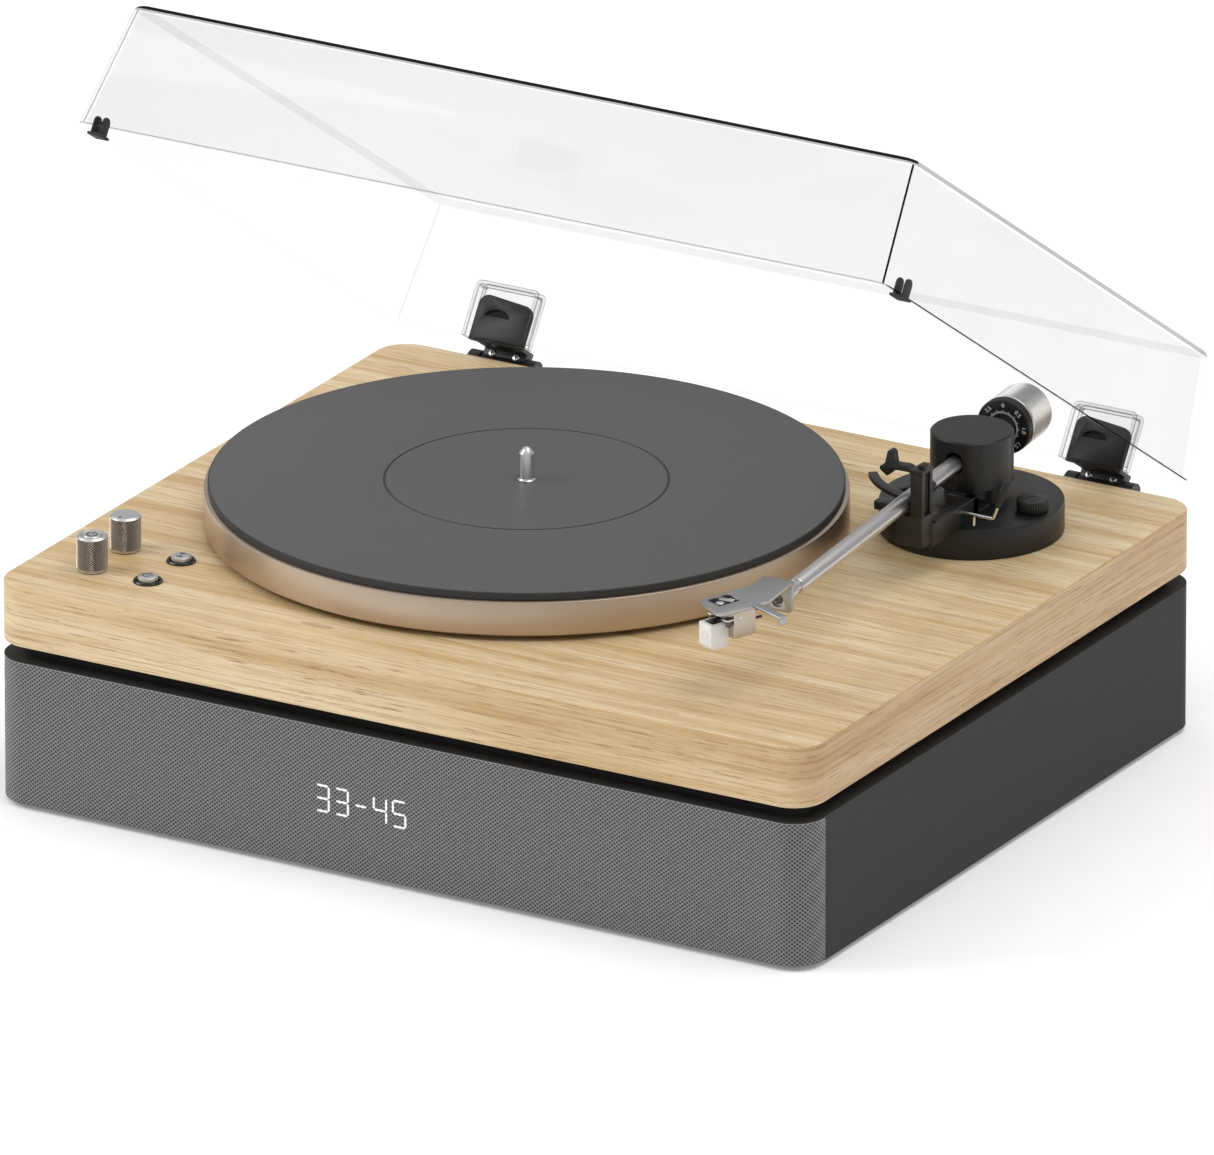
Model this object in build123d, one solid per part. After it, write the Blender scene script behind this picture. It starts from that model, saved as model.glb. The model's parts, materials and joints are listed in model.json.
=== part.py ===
"""Belt-drive record player on a speaker cabinet, with its dust cover standing open.

Millimetres, +X to the player's right, +Y to its back, +Z up. The origin is the middle of the
cabinet's footprint, on the surface that the feet stand on. Each piece is one STEP in parts/.
"""

import math
import os

from build123d import *

# ---- driving dimensions -------------------------------------------------------------------
WIDTH = 434.0
DEPTH = 368.0
CORNER_R = 16.0
FOOT_H = 2.5
CABINET_TOP = 73.0
PLINTH_BOTTOM = 80.0
DECK = 110.0  # top of the wooden plinth

GRILLE_DEPTH = 17.0
CLOTH_T = 0.8
CABINET_WALL = 10.0
CABINET_ROOF = 8.0
BOTTOM_T = 6.0
BAFFLE_T = 10.0
SPEAKER_X = 125.0
SPEAKER_R = 26.0
DISPLAY_X = -19.0
DISPLAY_Z = 37.5

PLINTH_SKIN = 10.0  # wood left above the pocket
PLINTH_WALL = 22.0

PLATTER_X, PLATTER_Y = -39.0, 2.0
PLATTER_R = 150.0
PLATTER_BOTTOM = 112.6
PLATTER_TOP = 129.4
MAT_R = 148.0
MAT_TOP = 133.2
MAT_GROOVE_R = 66.0
SPINDLE_R = 3.57
SHAFT_R = 4.0
SPINDLE_TOP = 149.2
SUB_PLATTER_R = 56.0
SUB_PLATTER_TOP = 123.9
PULLEY_R = 5.6
PULLEY_X, PULLEY_Y = PLATTER_X - 55.0, PLATTER_Y + 74.0

PIVOT_X, PIVOT_Y, PIVOT_Z = 141.0, 103.0, 148.0
ARM_BASE_R = 43.2
ARM_BASE_TOP = 125.0
HOUSING_R = 19.5
HOUSING_BOTTOM = 135.2
HOUSING_TOP = 158.9
ARM_YAW = 4.0  # degrees that the parked arm points outward from -Y
ARM_DROP = 0.7  # degrees that it points down
ARM_LIFT_MAX = 4.5
TUBE_R = 4.0
TUBE_END = 188.0
FLANGE_AT = 207.4
PLATE_TOP = 10.4
HEADSHELL_OFFSET = 26.0
STYLUS_AT = (252.0, -13.5, -10.3)
WEIGHT_AT = -33.5  # front of the force dial, along the arm
WEIGHT_R = 13.6
DIAL_T = 5.0
WEIGHT_T = 22.0

HINGE_Y, HINGE_Z = 190.8, 104.7
HINGE_XS = (-161.0, 161.0)
COVER_OPEN = 33.6  # degrees open as modelled
COVER_W = 429.3
COVER_FRONT, COVER_BACK = -175.3, 174.0
COVER_BOTTOM = 111.9
COVER_H = 61.6
COVER_T = 3.0
DRAFT_SIDE, DRAFT_FRONT, DRAFT_BACK = 6.7, 8.7, 3.4

KNOB_X, BUTTON_X = -184.0, -154.0
ROW_YS = (-148.0, -118.0)
KNOB_R = 7.4
KNOB_BOTTOM, KNOB_TOP = 110.6, 127.6
BUTTON_R = 4.8
BEZEL_R = 6.95

RUN = 0.05  # radial clearance of a running fit
GAP = 0.3  # between pieces that move past each other


# ---- helpers ------------------------------------------------------------------------------
def box(x, y, z):
    """A box between the low and high values of each pair."""
    size = [hi - lo for lo, hi in (x, y, z)]
    middle = [(hi + lo) / 2 for lo, hi in (x, y, z)]
    return Pos(*middle) * Box(*size)


def rod(x, y, z, radius):
    """A vertical cylinder between the two heights of z."""
    return Pos(x, y, z[0]) * extrude(Circle(radius), z[1] - z[0])


def rod_y(x, y, z, radius):
    """A cylinder along Y between the two values of y."""
    return Pos(x, y[0], z) * Rot(-90, 0, 0) * extrude(Circle(radius), y[1] - y[0])


def rod_x(x, y, z, radius):
    """A cylinder along X between the two values of x."""
    return Pos(x[0], y, z) * Rot(0, 90, 0) * extrude(Circle(radius), x[1] - x[0])


def slab(width, depth, z, radius, y=0.0):
    """A block with rounded upright corners."""
    outline = RectangleRounded(width, depth, radius)
    return Pos(0, y, z[0]) * extrude(outline, z[1] - z[0])


def polar(radius, degrees, centre=(0.0, 0.0)):
    """A point at an angle from -Y, turning towards +X."""
    turn = math.radians(degrees)
    return centre[0] + radius * math.sin(turn), centre[1] - radius * math.cos(turn)


def save(name, *solids):
    """Write one node from one or more separate solids."""
    whole = Compound(children=[piece for s in solids for piece in s.solids()])
    export_step(whole, f"parts/{name}.step")


def arm_frame(x=0.0, y=0.0, z=0.0):
    """The parked arm's own frame: x along the arm, y outward, z up, from the pivot."""
    yaw, drop = math.radians(ARM_YAW), math.radians(ARM_DROP)
    along = Vector(math.sin(yaw) * math.cos(drop), -math.cos(yaw) * math.cos(drop), -math.sin(drop))
    side = Vector(math.cos(yaw), math.sin(yaw), 0)
    plane = Plane(origin=(PIVOT_X, PIVOT_Y, PIVOT_Z), x_dir=along, z_dir=along.cross(side))
    return plane.location * Pos(x, y, z)


def headshell_frame(x=0.0, y=0.0, z=0.0):
    """The cartridge's frame: x forward, y to its right, z up, from above the stylus tip."""
    turn = Rot(0, 0, -HEADSHELL_OFFSET)
    return arm_frame(STYLUS_AT[0], STYLUS_AT[1], 0) * turn * Pos(x, y, z)


def opened(shape):
    """A piece of the closed dust cover, turned about the hinge to where it stands open."""
    return Pos(0, HINGE_Y, HINGE_Z) * Rot(-COVER_OPEN, 0, 0) * Pos(0, -HINGE_Y, -HINGE_Z) * shape


# ---- speaker cabinet ----------------------------------------------------------------------
def cabinet():
    front = -DEPTH / 2
    module_back = front + GRILLE_DEPTH
    inner_x = (-WIDTH / 2 + CABINET_WALL, WIDTH / 2 - CABINET_WALL)
    inner_back = DEPTH / 2 - CABINET_WALL
    panel_x, panel_z = (-70.0, 70.0), (18.0, 54.0)
    whole = slab(WIDTH, DEPTH, (FOOT_H, CABINET_TOP), CORNER_R)

    body = whole - box((-WIDTH, WIDTH), (front - 1, module_back), (0, CABINET_TOP + 1))
    body -= box(inner_x, (module_back - 1, inner_back), (0, CABINET_TOP - CABINET_ROOF))
    body -= box(panel_x, (inner_back - 1, DEPTH / 2 + 1), panel_z)
    save("cabinet_body", body)

    floor_top = FOOT_H + BOTTOM_T
    save("bottom_panel", box(inner_x, (module_back, inner_back), (FOOT_H, floor_top)))

    feet = [rod(x, y, (0, FOOT_H), 15.0) for x in (-180, 180) for y in (-148, 148)]
    feet.append(rod(0, 0, (0, FOOT_H), 15.0))
    save("rubber_feet", *feet)

    baffle_z = (floor_top, CABINET_TOP - CABINET_ROOF)
    baffle = box(inner_x, (module_back, module_back + BAFFLE_T), baffle_z)
    for x in (-SPEAKER_X, SPEAKER_X):
        baffle -= rod_y(x, (front, 0), DISPLAY_Z, SPEAKER_R - 4)
    save("front_baffle", baffle)

    module = whole & box((-WIDTH, WIDTH), (front - 1, module_back), (0, CABINET_TOP + 1))
    core = slab(WIDTH - 2 * CLOTH_T, DEPTH - 2 * CLOTH_T, (FOOT_H, CABINET_TOP), CORNER_R - CLOTH_T)
    core &= box((-WIDTH, WIDTH), (front, module_back), (0, CABINET_TOP))
    lip = 0.6
    cloth = (module - core) & box((-WIDTH, WIDTH), (front - 1, 0), (FOOT_H, CABINET_TOP - lip))
    save("grille_cloth", cloth)
    frame = module - cloth
    rim = 3.0
    frame -= box(
        (-WIDTH / 2 + 2 * rim, WIDTH / 2 - 2 * rim),
        (front + rim + CLOTH_T, module_back + 1),
        (FOOT_H + rim, CABINET_TOP - rim),
    )
    for x, half in ((-SPEAKER_X, 60.0), (DISPLAY_X, 36.0), (SPEAKER_X, 60.0)):
        frame -= box((x - half, x + half), (front - 1, 0), (FOOT_H + 12, CABINET_TOP - 12))
    save("grille_frame", frame)

    save(
        "display_module",
        box((DISPLAY_X - 33, DISPLAY_X + 33), (front + 5, module_back), (DISPLAY_Z - 10, DISPLAY_Z + 10)),
    )

    for side, x in (("left", -SPEAKER_X), ("right", SPEAKER_X)):
        speaker(side, x, module_back)
    save("speaker_magnets", *[magnet(x, module_back) for x in (-SPEAKER_X, SPEAKER_X)])

    board_z = floor_top + 6.0
    board = [box((-55, 55), (90, 160), (board_z, board_z + 1.6))]
    board += [rod(x, y, (floor_top, board_z), 3.0) for x in (-50, 50) for y in (95, 155)]
    top = board_z + 1.6
    board += [rod(x, 105, (top, top + 25), 8.0) for x in (-38, -19)]
    board += [box((5, 40), (98, 112), (top, top + 22)), box((-15, 10), (125, 145), (top, top + 3))]
    save("amplifier_board", *board)

    rear_panel(panel_x, panel_z, inner_back)


def speaker(side, x, face):
    """A full-range driver: its basket behind the baffle's hole, and its paper cone."""
    basket = rod_y(x, (face - 2.5, face), DISPLAY_Z, SPEAKER_R)
    basket += rod_y(x, (face, face + 18), DISPLAY_Z, SPEAKER_R - 4)
    cup = Pos(x, face - 3, DISPLAY_Z) * Rot(-90, 0, 0)
    basket -= cup * Pos(0, 0, 9) * Cone(SPEAKER_R - 5, 9.0, 18.0)
    basket -= rod_y(x, (face + 14, face + 20), DISPLAY_Z, 7.0)
    save(f"speaker_basket_{side}", basket)
    wall = 0.8
    outer = cup * Pos(0, 0, 9) * Cone(SPEAKER_R - 6, 8.5, 16.0)
    inner = cup * Pos(0, 0, 9 - wall) * Cone(SPEAKER_R - 6, 8.5, 16.0)
    dome = Pos(x, face + 11, DISPLAY_Z) * Sphere(9.0) & rod_y(x, (face, face + 13), DISPLAY_Z, 7.5)
    save(f"speaker_cone_{side}", (outer - inner) + dome)


def magnet(x, face):
    return rod_y(x, (face + 18, face + 30), DISPLAY_Z, 20.0)


def rear_panel(panel_x, panel_z, inner_back):
    """The connector plate in the cabinet's back, with its sockets and screws."""
    plate_y = (inner_back + 5, inner_back + 8)
    socket_z = (panel_z[0] + panel_z[1]) / 2
    rca_xs, aux_x, inlet_x = (-44.0, -26.0), 4.0, 46.0
    aux_r = 1.8
    plate = box(panel_x, plate_y, panel_z)
    for x in rca_xs:
        plate -= rod_y(x, (100, 200), socket_z, 5.0)
    plate -= rod_y(aux_x, (100, 200), socket_z, 4.0)
    plate -= rod_y(inlet_x, (100, 200), socket_z, 5.5)
    screw_spots = [(x, z) for x in (-64, 64) for z in (23, 49)]
    for x, z in screw_spots:
        plate -= rod_y(x, (100, 200), z, 1.5)
    save("rear_panel", plate)

    out = DEPTH / 2
    jacks = []
    for x in rca_xs:
        jack = rod_y(x, (plate_y[0] - 8, plate_y[0]), socket_z, 6.5)
        jack += rod_y(x, (plate_y[0] - 1, out), socket_z, 4.15)
        jacks.append(jack - rod_y(x, (out - 8, out + 1), socket_z, 1.7))
    save("rca_sockets", *jacks)
    aux = rod_y(aux_x, (plate_y[0] - 12, out - 1), socket_z, 4.0)
    save("aux_socket", aux - rod_y(aux_x, (out - 15, out), socket_z, aux_r))
    inlet = rod_y(inlet_x, (plate_y[0] - 11, out - 1), socket_z, 5.5)
    inlet -= rod_y(inlet_x, (out - 11, out), socket_z, 2.85)
    save("power_inlet", inlet + rod_y(inlet_x, (out - 12, out - 2), socket_z, 1.0))

    shank = (plate_y[0] - 4, plate_y[1])
    head = (plate_y[1], plate_y[1] + 1.6)
    screws = [rod_y(x, shank, z, 1.5) + rod_y(x, head, z, 2.8) for x, z in screw_spots]
    save("panel_screws", *screws)


# ---- plinth and what is fixed in it -------------------------------------------------------
def plinth():
    inset = 9.0
    ring = slab(WIDTH - 2 * inset, DEPTH - 2 * inset, (CABINET_TOP, PLINTH_BOTTOM), 8.0)
    hollow = slab(WIDTH - 2 * inset - 30, DEPTH - 2 * inset - 30, (0, 200), 5.0)
    save("riser_frame", ring - hollow)

    wood = slab(WIDTH, DEPTH, (PLINTH_BOTTOM, DECK), CORNER_R)
    rims = wood.edges().filter_by_position(Axis.Z, DECK, DECK)
    rims += wood.edges().filter_by_position(Axis.Z, PLINTH_BOTTOM, PLINTH_BOTTOM)
    wood = fillet(rims, 1.2)
    ceiling = DECK - PLINTH_SKIN
    wood -= slab(WIDTH - 2 * PLINTH_WALL, DEPTH - 2 * PLINTH_WALL, (0, ceiling), 10.0)
    wood -= rod(PLATTER_X, PLATTER_Y, (0, 200), 8.0)
    wood -= rod(PULLEY_X, PULLEY_Y, (0, 200), 8.0)
    wood -= rod(PIVOT_X, PIVOT_Y, (0, 200), 11.0)
    for y in ROW_YS:
        wood -= rod(KNOB_X, y, (0, 200), 4.0)
        wood -= rod(BUTTON_X, y, (0, 200), BEZEL_R)
    save("wood_plinth", wood)

    bezels = [
        rod(BUTTON_X, y, (ceiling + 1, DECK + 1.2), BEZEL_R) - rod(BUTTON_X, y, (0, 200), BUTTON_R + 0.4)
        for y in ROW_YS
    ]
    save("button_bezels", *bezels)

    floor = PLINTH_BOTTOM + 6.0
    board = [box((-193, -144), (-158, -108), (floor, floor + 1.6))]
    for y in ROW_YS:
        pot = box((KNOB_X - 8, KNOB_X + 8), (y - 8, y + 8), (floor + 1.6, floor + 10))
        board.append(pot - rod(KNOB_X, y, (floor + 2.6, 200), 3.0 + RUN))
        board.append(box((BUTTON_X - 3, BUTTON_X + 3), (y - 3, y + 3), (floor + 1.6, ceiling - 2.0)))
    save("control_board", *board)


# ---- controls -----------------------------------------------------------------------------
def controls():
    shaft_z = (PLINTH_BOTTOM + 9.5, KNOB_BOTTOM + 1)
    for name, y in zip(("power_volume_knob", "tone_knob"), ROW_YS):
        cap = rod(KNOB_X, y, (KNOB_BOTTOM, KNOB_TOP), KNOB_R)
        cap = chamfer(cap.edges().group_by(Axis.Z)[-1], 0.7)
        knob = cap + rod(KNOB_X, y, shaft_z, 3.0)
        if name == "power_volume_knob":
            knob -= rod(KNOB_X, y, (KNOB_TOP - 3.6, 200), 4.7)
        save(name, knob)
    button = rod(KNOB_X, ROW_YS[0], (KNOB_TOP - 2.6, KNOB_TOP), 4.6)
    save("power_button", button)

    for name, y in zip(("input_button", "mode_button"), ROW_YS):
        cap = rod(BUTTON_X, y, (DECK - 2, DECK + 3.2), BUTTON_R)
        cap = fillet(cap.edges().group_by(Axis.Z)[-1], 1.2)
        save(name, cap + rod(BUTTON_X, y, (DECK - 9.7, DECK - 2), 2.0))


# ---- platter and its drive ----------------------------------------------------------------
def drive():
    at = (PLATTER_X, PLATTER_Y)
    sleeve = rod(*at, (84, 112), 8.0) + rod(*at, (96, DECK - PLINTH_SKIN), 17.0)
    save("bearing_sleeve", sleeve - rod(*at, (86, 200), SHAFT_R + RUN))

    pin = rod(*at, (MAT_TOP - 0.2, SPINDLE_TOP), SPINDLE_R)
    pin = chamfer(pin.edges().group_by(Axis.Z)[-1], 2.2)
    save("spindle", pin + rod(*at, (86 + GAP, MAT_TOP - 0.2), SHAFT_R))

    hub = rod(*at, (112 + GAP, 116), 12.0)
    disc = rod(*at, (116, SUB_PLATTER_TOP), SUB_PLATTER_R)
    save("sub_platter", hub + disc - rod(*at, (0, 200), SHAFT_R))

    platter = rod(*at, (PLATTER_BOTTOM, PLATTER_TOP), PLATTER_R)
    platter = chamfer(platter.edges().group_by(Axis.Z)[-1], 0.6)
    platter -= rod(*at, (0, SUB_PLATTER_TOP), PLATTER_R - 9)
    save("platter", platter - rod(*at, (0, 200), SHAFT_R))

    mat = rod(*at, (PLATTER_TOP, MAT_TOP), MAT_R)
    mat = fillet(mat.edges().group_by(Axis.Z)[-1], 0.8)
    groove = rod(*at, (MAT_TOP - 0.5, 200), MAT_GROOVE_R + 0.5) - rod(*at, (0, 200), MAT_GROOVE_R - 0.5)
    save("platter_mat", mat - groove - rod(*at, (0, 200), SHAFT_R + 0.2))

    motor_top = DECK - PLINTH_SKIN
    shaft_r = 1.0
    motor = rod(PULLEY_X, PULLEY_Y, (PLINTH_BOTTOM + 1, motor_top), 18.0)
    save("motor", motor - rod(PULLEY_X, PULLEY_Y, (motor_top - 12, 200), shaft_r + RUN))
    pulley = rod(PULLEY_X, PULLEY_Y, (114, 123), PULLEY_R)
    pulley += rod(PULLEY_X, PULLEY_Y, (motor_top - 11, 115), shaft_r)
    save("motor_pulley", pulley)

    belt_z, belt_t = (117, 121.5), 0.6
    outlines = []
    for grow in (GAP, GAP + belt_t):
        rounds = Pos(*at) * CenterArc((0, 0), SUB_PLATTER_R + grow, 0, 360)
        small = Pos(PULLEY_X, PULLEY_Y) * CenterArc((0, 0), PULLEY_R + grow, 0, 360)
        outlines.append(make_hull([*rounds.edges(), *small.edges()]))
    band = extrude(outlines[1], belt_z[1] - belt_z[0]) - extrude(outlines[0], belt_z[1] - belt_z[0])
    save("drive_belt", Pos(0, 0, belt_z[0]) * band)


# ---- tonearm base -------------------------------------------------------------------------
POST_X = (150.7, 157.0)
POST_Y = (27.7, 37.8)
POST_TOP = 167.3
REST_BOTTOM = 127.5
CRADLE_TOP = 142.4
BEAM_TOP = 136.2
CLIP_PIVOT = (153.6, 153.0)
CLIP_Y = (38.4, 43.6)
CLIP_OPEN = 24.0
LEVER_Y, LEVER_Z = 69.1, 131.4
LEVER_R = 0.85
SKATE_X, SKATE_Y = 173.8, 102.2
LIFT_R = 46.0
LIFT_TOP = 139.6


def tonearm_base():
    at = (PIVOT_X, PIVOT_Y)
    disc = rod(*at, (DECK, ARM_BASE_TOP), ARM_BASE_R)
    disc = fillet(disc.edges().group_by(Axis.Z)[-1], 0.8)
    base = disc + rod(*at, (DECK - 18, DECK), 11.0) + rod(*at, (ARM_BASE_TOP, HOUSING_BOTTOM - 0.6), 13.0)
    base -= rod(*at, (DECK - 12, 200), 3.0 + RUN)
    base -= rod(SKATE_X, SKATE_Y, (DECK + 4, 200), 2.0 + RUN)
    plunger = polar(36.0, -25.0, at)
    base -= rod(*plunger, (DECK + 1, 200), 2.2 + RUN)
    save("tonearm_base", base)

    knob = rod(SKATE_X, SKATE_Y, (ARM_BASE_TOP + GAP, ARM_BASE_TOP + 6.1), 7.5)
    knob = fillet(knob.edges().group_by(Axis.Z)[-1], 0.6)
    save("antiskate_knob", knob + rod(SKATE_X, SKATE_Y, (DECK + 5, ARM_BASE_TOP + 1), 2.0))

    save("arm_rest", arm_rest())
    save("arm_clip", arm_clip())
    save("cue_lever", *cue_lever())
    save("cue_lift", cue_lift(plunger))


def arm_rest():
    """The bracket that reaches forward from the base to the parked arm's cradle and post."""
    post = box(POST_X, POST_Y, (REST_BOTTOM, POST_TOP))
    slot = box((POST_X[1] - 1.5, POST_X[1] + 1), (POST_Y[0] + 3.2, POST_Y[1] - 2.4), (141, POST_TOP - 2))
    foot = box((142.9, POST_X[1]), POST_Y, (REST_BOTTOM, CRADLE_TOP))
    shelf = box((126.0, POST_X[1]), (POST_Y[1], CLIP_Y[1] + 0.4), (138.0, CRADLE_TOP))
    beam = box((POST_X[1] - 5.5, POST_X[1]), (POST_Y[1], 81.0), (ARM_BASE_TOP, BEAM_TOP))
    web = box((143.0, POST_X[1]), (76.0, 81.0), (ARM_BASE_TOP, BEAM_TOP))
    rest = post - slot + foot + shelf + beam + web
    rest += box((143.0, POST_X[1]), POST_Y, (REST_BOTTOM, BEAM_TOP))
    rest -= rod_x((140, 200), LEVER_Y, LEVER_Z, LEVER_R + RUN)
    pin = rod_y(CLIP_PIVOT[0], (POST_Y[1] - 1, CLIP_Y[1] + 1.0), CLIP_PIVOT[1], 1.2)
    return rest + pin


def arm_clip():
    """The latch that folds over the parked arm, standing open."""
    x, z = CLIP_PIVOT
    y, thick = CLIP_Y[0], CLIP_Y[1] - CLIP_Y[0]
    with BuildPart() as clip:
        with BuildSketch(Plane(origin=(x, y, z), x_dir=(1, 0, 0), z_dir=(0, -1, 0))):
            with BuildLine():
                Polyline((0, 2.4), (-6, 3.4))
                Spline((-6, 3.4), (-13, 3.6), (-19.5, 0.6))
                Polyline((-19.5, 0.6), (-23.4, 4.6), (-25.2, 4.2), (-24.2, -2), (-26.2, -5.4), (-20.6, -6.6))
                Spline((-20.6, -6.6), (-18.6, -2.4), (-13, 1.2), (-6, 0.9))
                Polyline((-6, 0.9), (0, -2.4), (0, 2.4))
            make_face()
        extrude(amount=-thick)
    hub = rod_y(x, CLIP_Y, z, 2.4)
    hole = rod_y(x, (0, 100), z, 1.2 + RUN)
    turn = Pos(x, 0, z) * Rot(0, CLIP_OPEN, 0) * Pos(-x, 0, -z)
    return turn * (clip.part + hub - hole)


def cue_lever():
    """A bent wire whose cross bar turns in the arm rest's beam, and its rubber grip."""
    low, bend, tip = 126.2, 171.4, (179.2, 151.6)
    wire = rod_x((POST_X[1] - 5, bend), LEVER_Y, LEVER_Z, LEVER_R)
    wire += rod(161.3, LEVER_Y, (low, LEVER_Z), LEVER_R)
    wire += Pos(bend, LEVER_Y, LEVER_Z) * Sphere(LEVER_R)
    lean = math.degrees(math.atan2(tip[0] - bend, tip[1] - LEVER_Z))
    length = math.hypot(tip[0] - bend, tip[1] - LEVER_Z)
    up = Pos(bend, LEVER_Y, LEVER_Z) * Rot(0, lean, 0)
    wire += up * extrude(Circle(LEVER_R), length - 1)
    sleeve = up * Pos(0, 0, length - 7.5) * Cone(1.35, 1.9, 15.0)
    return wire - sleeve, sleeve


def cue_lift(plunger):
    """The curved rest that the cue lever raises and lowers under the arm, on its plunger."""
    at = (PIVOT_X, PIVOT_Y)
    half = 2.3
    ring = rod(*at, (LIFT_TOP - 2.6, LIFT_TOP), LIFT_R + half)
    ring -= rod(*at, (0, 200), LIFT_R - half)
    wedge = [at, polar(80, 5.0, at), polar(80, -25.0, at), polar(80, -55.0, at)]
    arc = ring & Pos(0, 0, LIFT_TOP - 5) * extrude(make_face(Polyline(*wedge, close=True)), 10)
    spoke = Pos(*plunger, 0) * Rot(0, 0, -25.0) * box((-2.0, 2.0), (-9.0, 2.0), (LIFT_TOP - 2.6, LIFT_TOP - 0.6))
    post = rod(*plunger, (DECK + 8, LIFT_TOP - 0.6), 2.2)
    return arc + spoke + post


# ---- tonearm ------------------------------------------------------------------------------
def tonearm():
    at = (PIVOT_X, PIVOT_Y)
    shell = rod(*at, (HOUSING_BOTTOM, HOUSING_TOP), HOUSING_R)
    shell = chamfer(shell.edges().group_by(Axis.Z)[-1], 0.8)
    shell -= rod(*at, (0, HOUSING_TOP - 3), 16.0)
    rise = HOUSING_R * math.tan(math.radians(ARM_LIFT_MAX)) + GAP
    for side, top, low in ((1, rise, 0.5), (-1, 0.5, rise)):
        reach = (5.0, 30.0) if side > 0 else (-30.0, -5.0)
        shell -= arm_frame() * box(reach, (-TUBE_R - GAP, TUBE_R + GAP), (-low, top))
        for lift in (top, -low):
            shell -= arm_frame(reach[0], 0, lift) * Rot(0, 90, 0) * extrude(Circle(TUBE_R + GAP), 25)
    save("bearing_housing", shell)

    yoke = rod(*at, (HOUSING_BOTTOM, HOUSING_BOTTOM + 3), 16.0) + rod(*at, (DECK - 10, HOUSING_BOTTOM), 3.0)
    for side in (-1, 1):
        y = (8.5, 11.5) if side > 0 else (-11.5, -8.5)
        yoke += Pos(*at, 0) * Rot(0, 0, ARM_YAW - 90) * box((-4, 4), y, (HOUSING_BOTTOM + 2, PIVOT_Z + 4))
    yoke -= arm_frame() * rod_y(0, (-20, 20), 0, 1.0 + RUN)
    save("arm_yoke", yoke)

    block = arm_frame() * box((-6, 6), (-7.5, 7.5), (-6, 6)) - arm_frame() * rod_y(0, (-20, 20), 0, 1.0)
    block -= arm_frame() * rod_x((-10, 10), 0, 0, TUBE_R)
    save("pivot_block", block)
    save("pivot_pins", arm_frame() * rod_y(0, (-13, -TUBE_R), 0, 1.0), arm_frame() * rod_y(0, (TUBE_R, 13), 0, 1.0))

    tube = rod_x((0, TUBE_END), 0, 0, TUBE_R) + rod_x((TUBE_END, FLANGE_AT - 1.6), 0, 0, 3.0)
    tube += rod_x((TUBE_END + 6, TUBE_END + 11), 0, 0, 4.4)
    tube -= rod_x((8, FLANGE_AT), 0, 0, 2.2)
    save("arm_tube", arm_frame() * tube)
    save("counterweight_shaft", arm_frame() * rod_x((-64, 0), 0, 0, 3.6))

    save("headshell", arm_frame() * headshell())
    cartridge()
    counterweight()


def headshell():
    """A pressed plate with a rear flange on the tube's end and a finger lift."""
    thick = 1.6
    bottom = PLATE_TOP - thick
    back = FLANGE_AT - 1.6
    outline = [
        (back, -7.8),
        (217.4, -7.8),
        (243.6, -20.4),
        (247.4, -20.9),
        (256.6, -7.4),
        (256.4, -4.4),
        (237.2, 5.6),
        (232.2, 7.8),
        (back, 7.8),
    ]
    plate = Pos(0, 0, bottom) * extrude(make_face(Polyline(*outline, close=True)), thick)
    window = [(241.4, -17.6), (234.4, -14.2), (238.6, -5.6), (246.6, -9.4)]
    plate -= Pos(0, 0, bottom - 1) * extrude(make_face(Polyline(*window, close=True)), thick + 2)
    flange = box((back, FLANGE_AT), (-7.6, 7.6), (-5.2, bottom)) - rod_x((back - 1, 250), 0, 0, 2.9)
    lift = Pos(238.6, 4.0, bottom) * Rot(0, 0, -HEADSHELL_OFFSET)
    lift *= box((-2.4, 2.4), (-2, 20.6), (0, thick))
    tip = Pos(238.6, 4.0, bottom) * Rot(0, 0, -HEADSHELL_OFFSET)
    tip *= box((-2.4, 2.4), (18.8, 20.6), (-2.4, thick))
    return plate + flange + lift + tip


def cartridge():
    under = PLATE_TOP - 1.6
    body = box((-19.4, -5.6), (-7.6, 8.6), (-3.6, under))
    body += box((-5.6, -0.6), (-7.6, 8.6), (4.2, 6.6)) + box((-5.6, 2.0), (-4.4, 4.4), (-1.0, 3.4))
    save("cartridge_body", headshell_frame() * body)

    nose = box((-10.0, 1.6), (-5.0, 5.0), (-9.4, -1.0)) - box((-30, -5.6), (-8, 8), (-3.6, 9))
    nose = chamfer(nose.edges().filter_by(Axis.X).group_by(Axis.Z)[0], 1.2)
    tip = Pos(0, 0, -9.85) * Cone(0.1, 0.45, 0.9)
    save("stylus_unit", headshell_frame() * (nose + tip))

    pins = [
        headshell_frame() * rod_x((-23.6, -19.4), y, z, 0.6)
        for y, z in ((-4.5, 5.0), (4.5, 5.0), (-4.5, 0.8), (4.5, 0.8))
    ]
    save("cartridge_pins", *pins)
    screws = []
    for y in (-6.0, 7.0):
        screws.append(headshell_frame(-3.1, y, 0) * (rod(0, 0, (1.8, 4.2), 1.6)))
    save("cartridge_screws", *screws)


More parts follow.
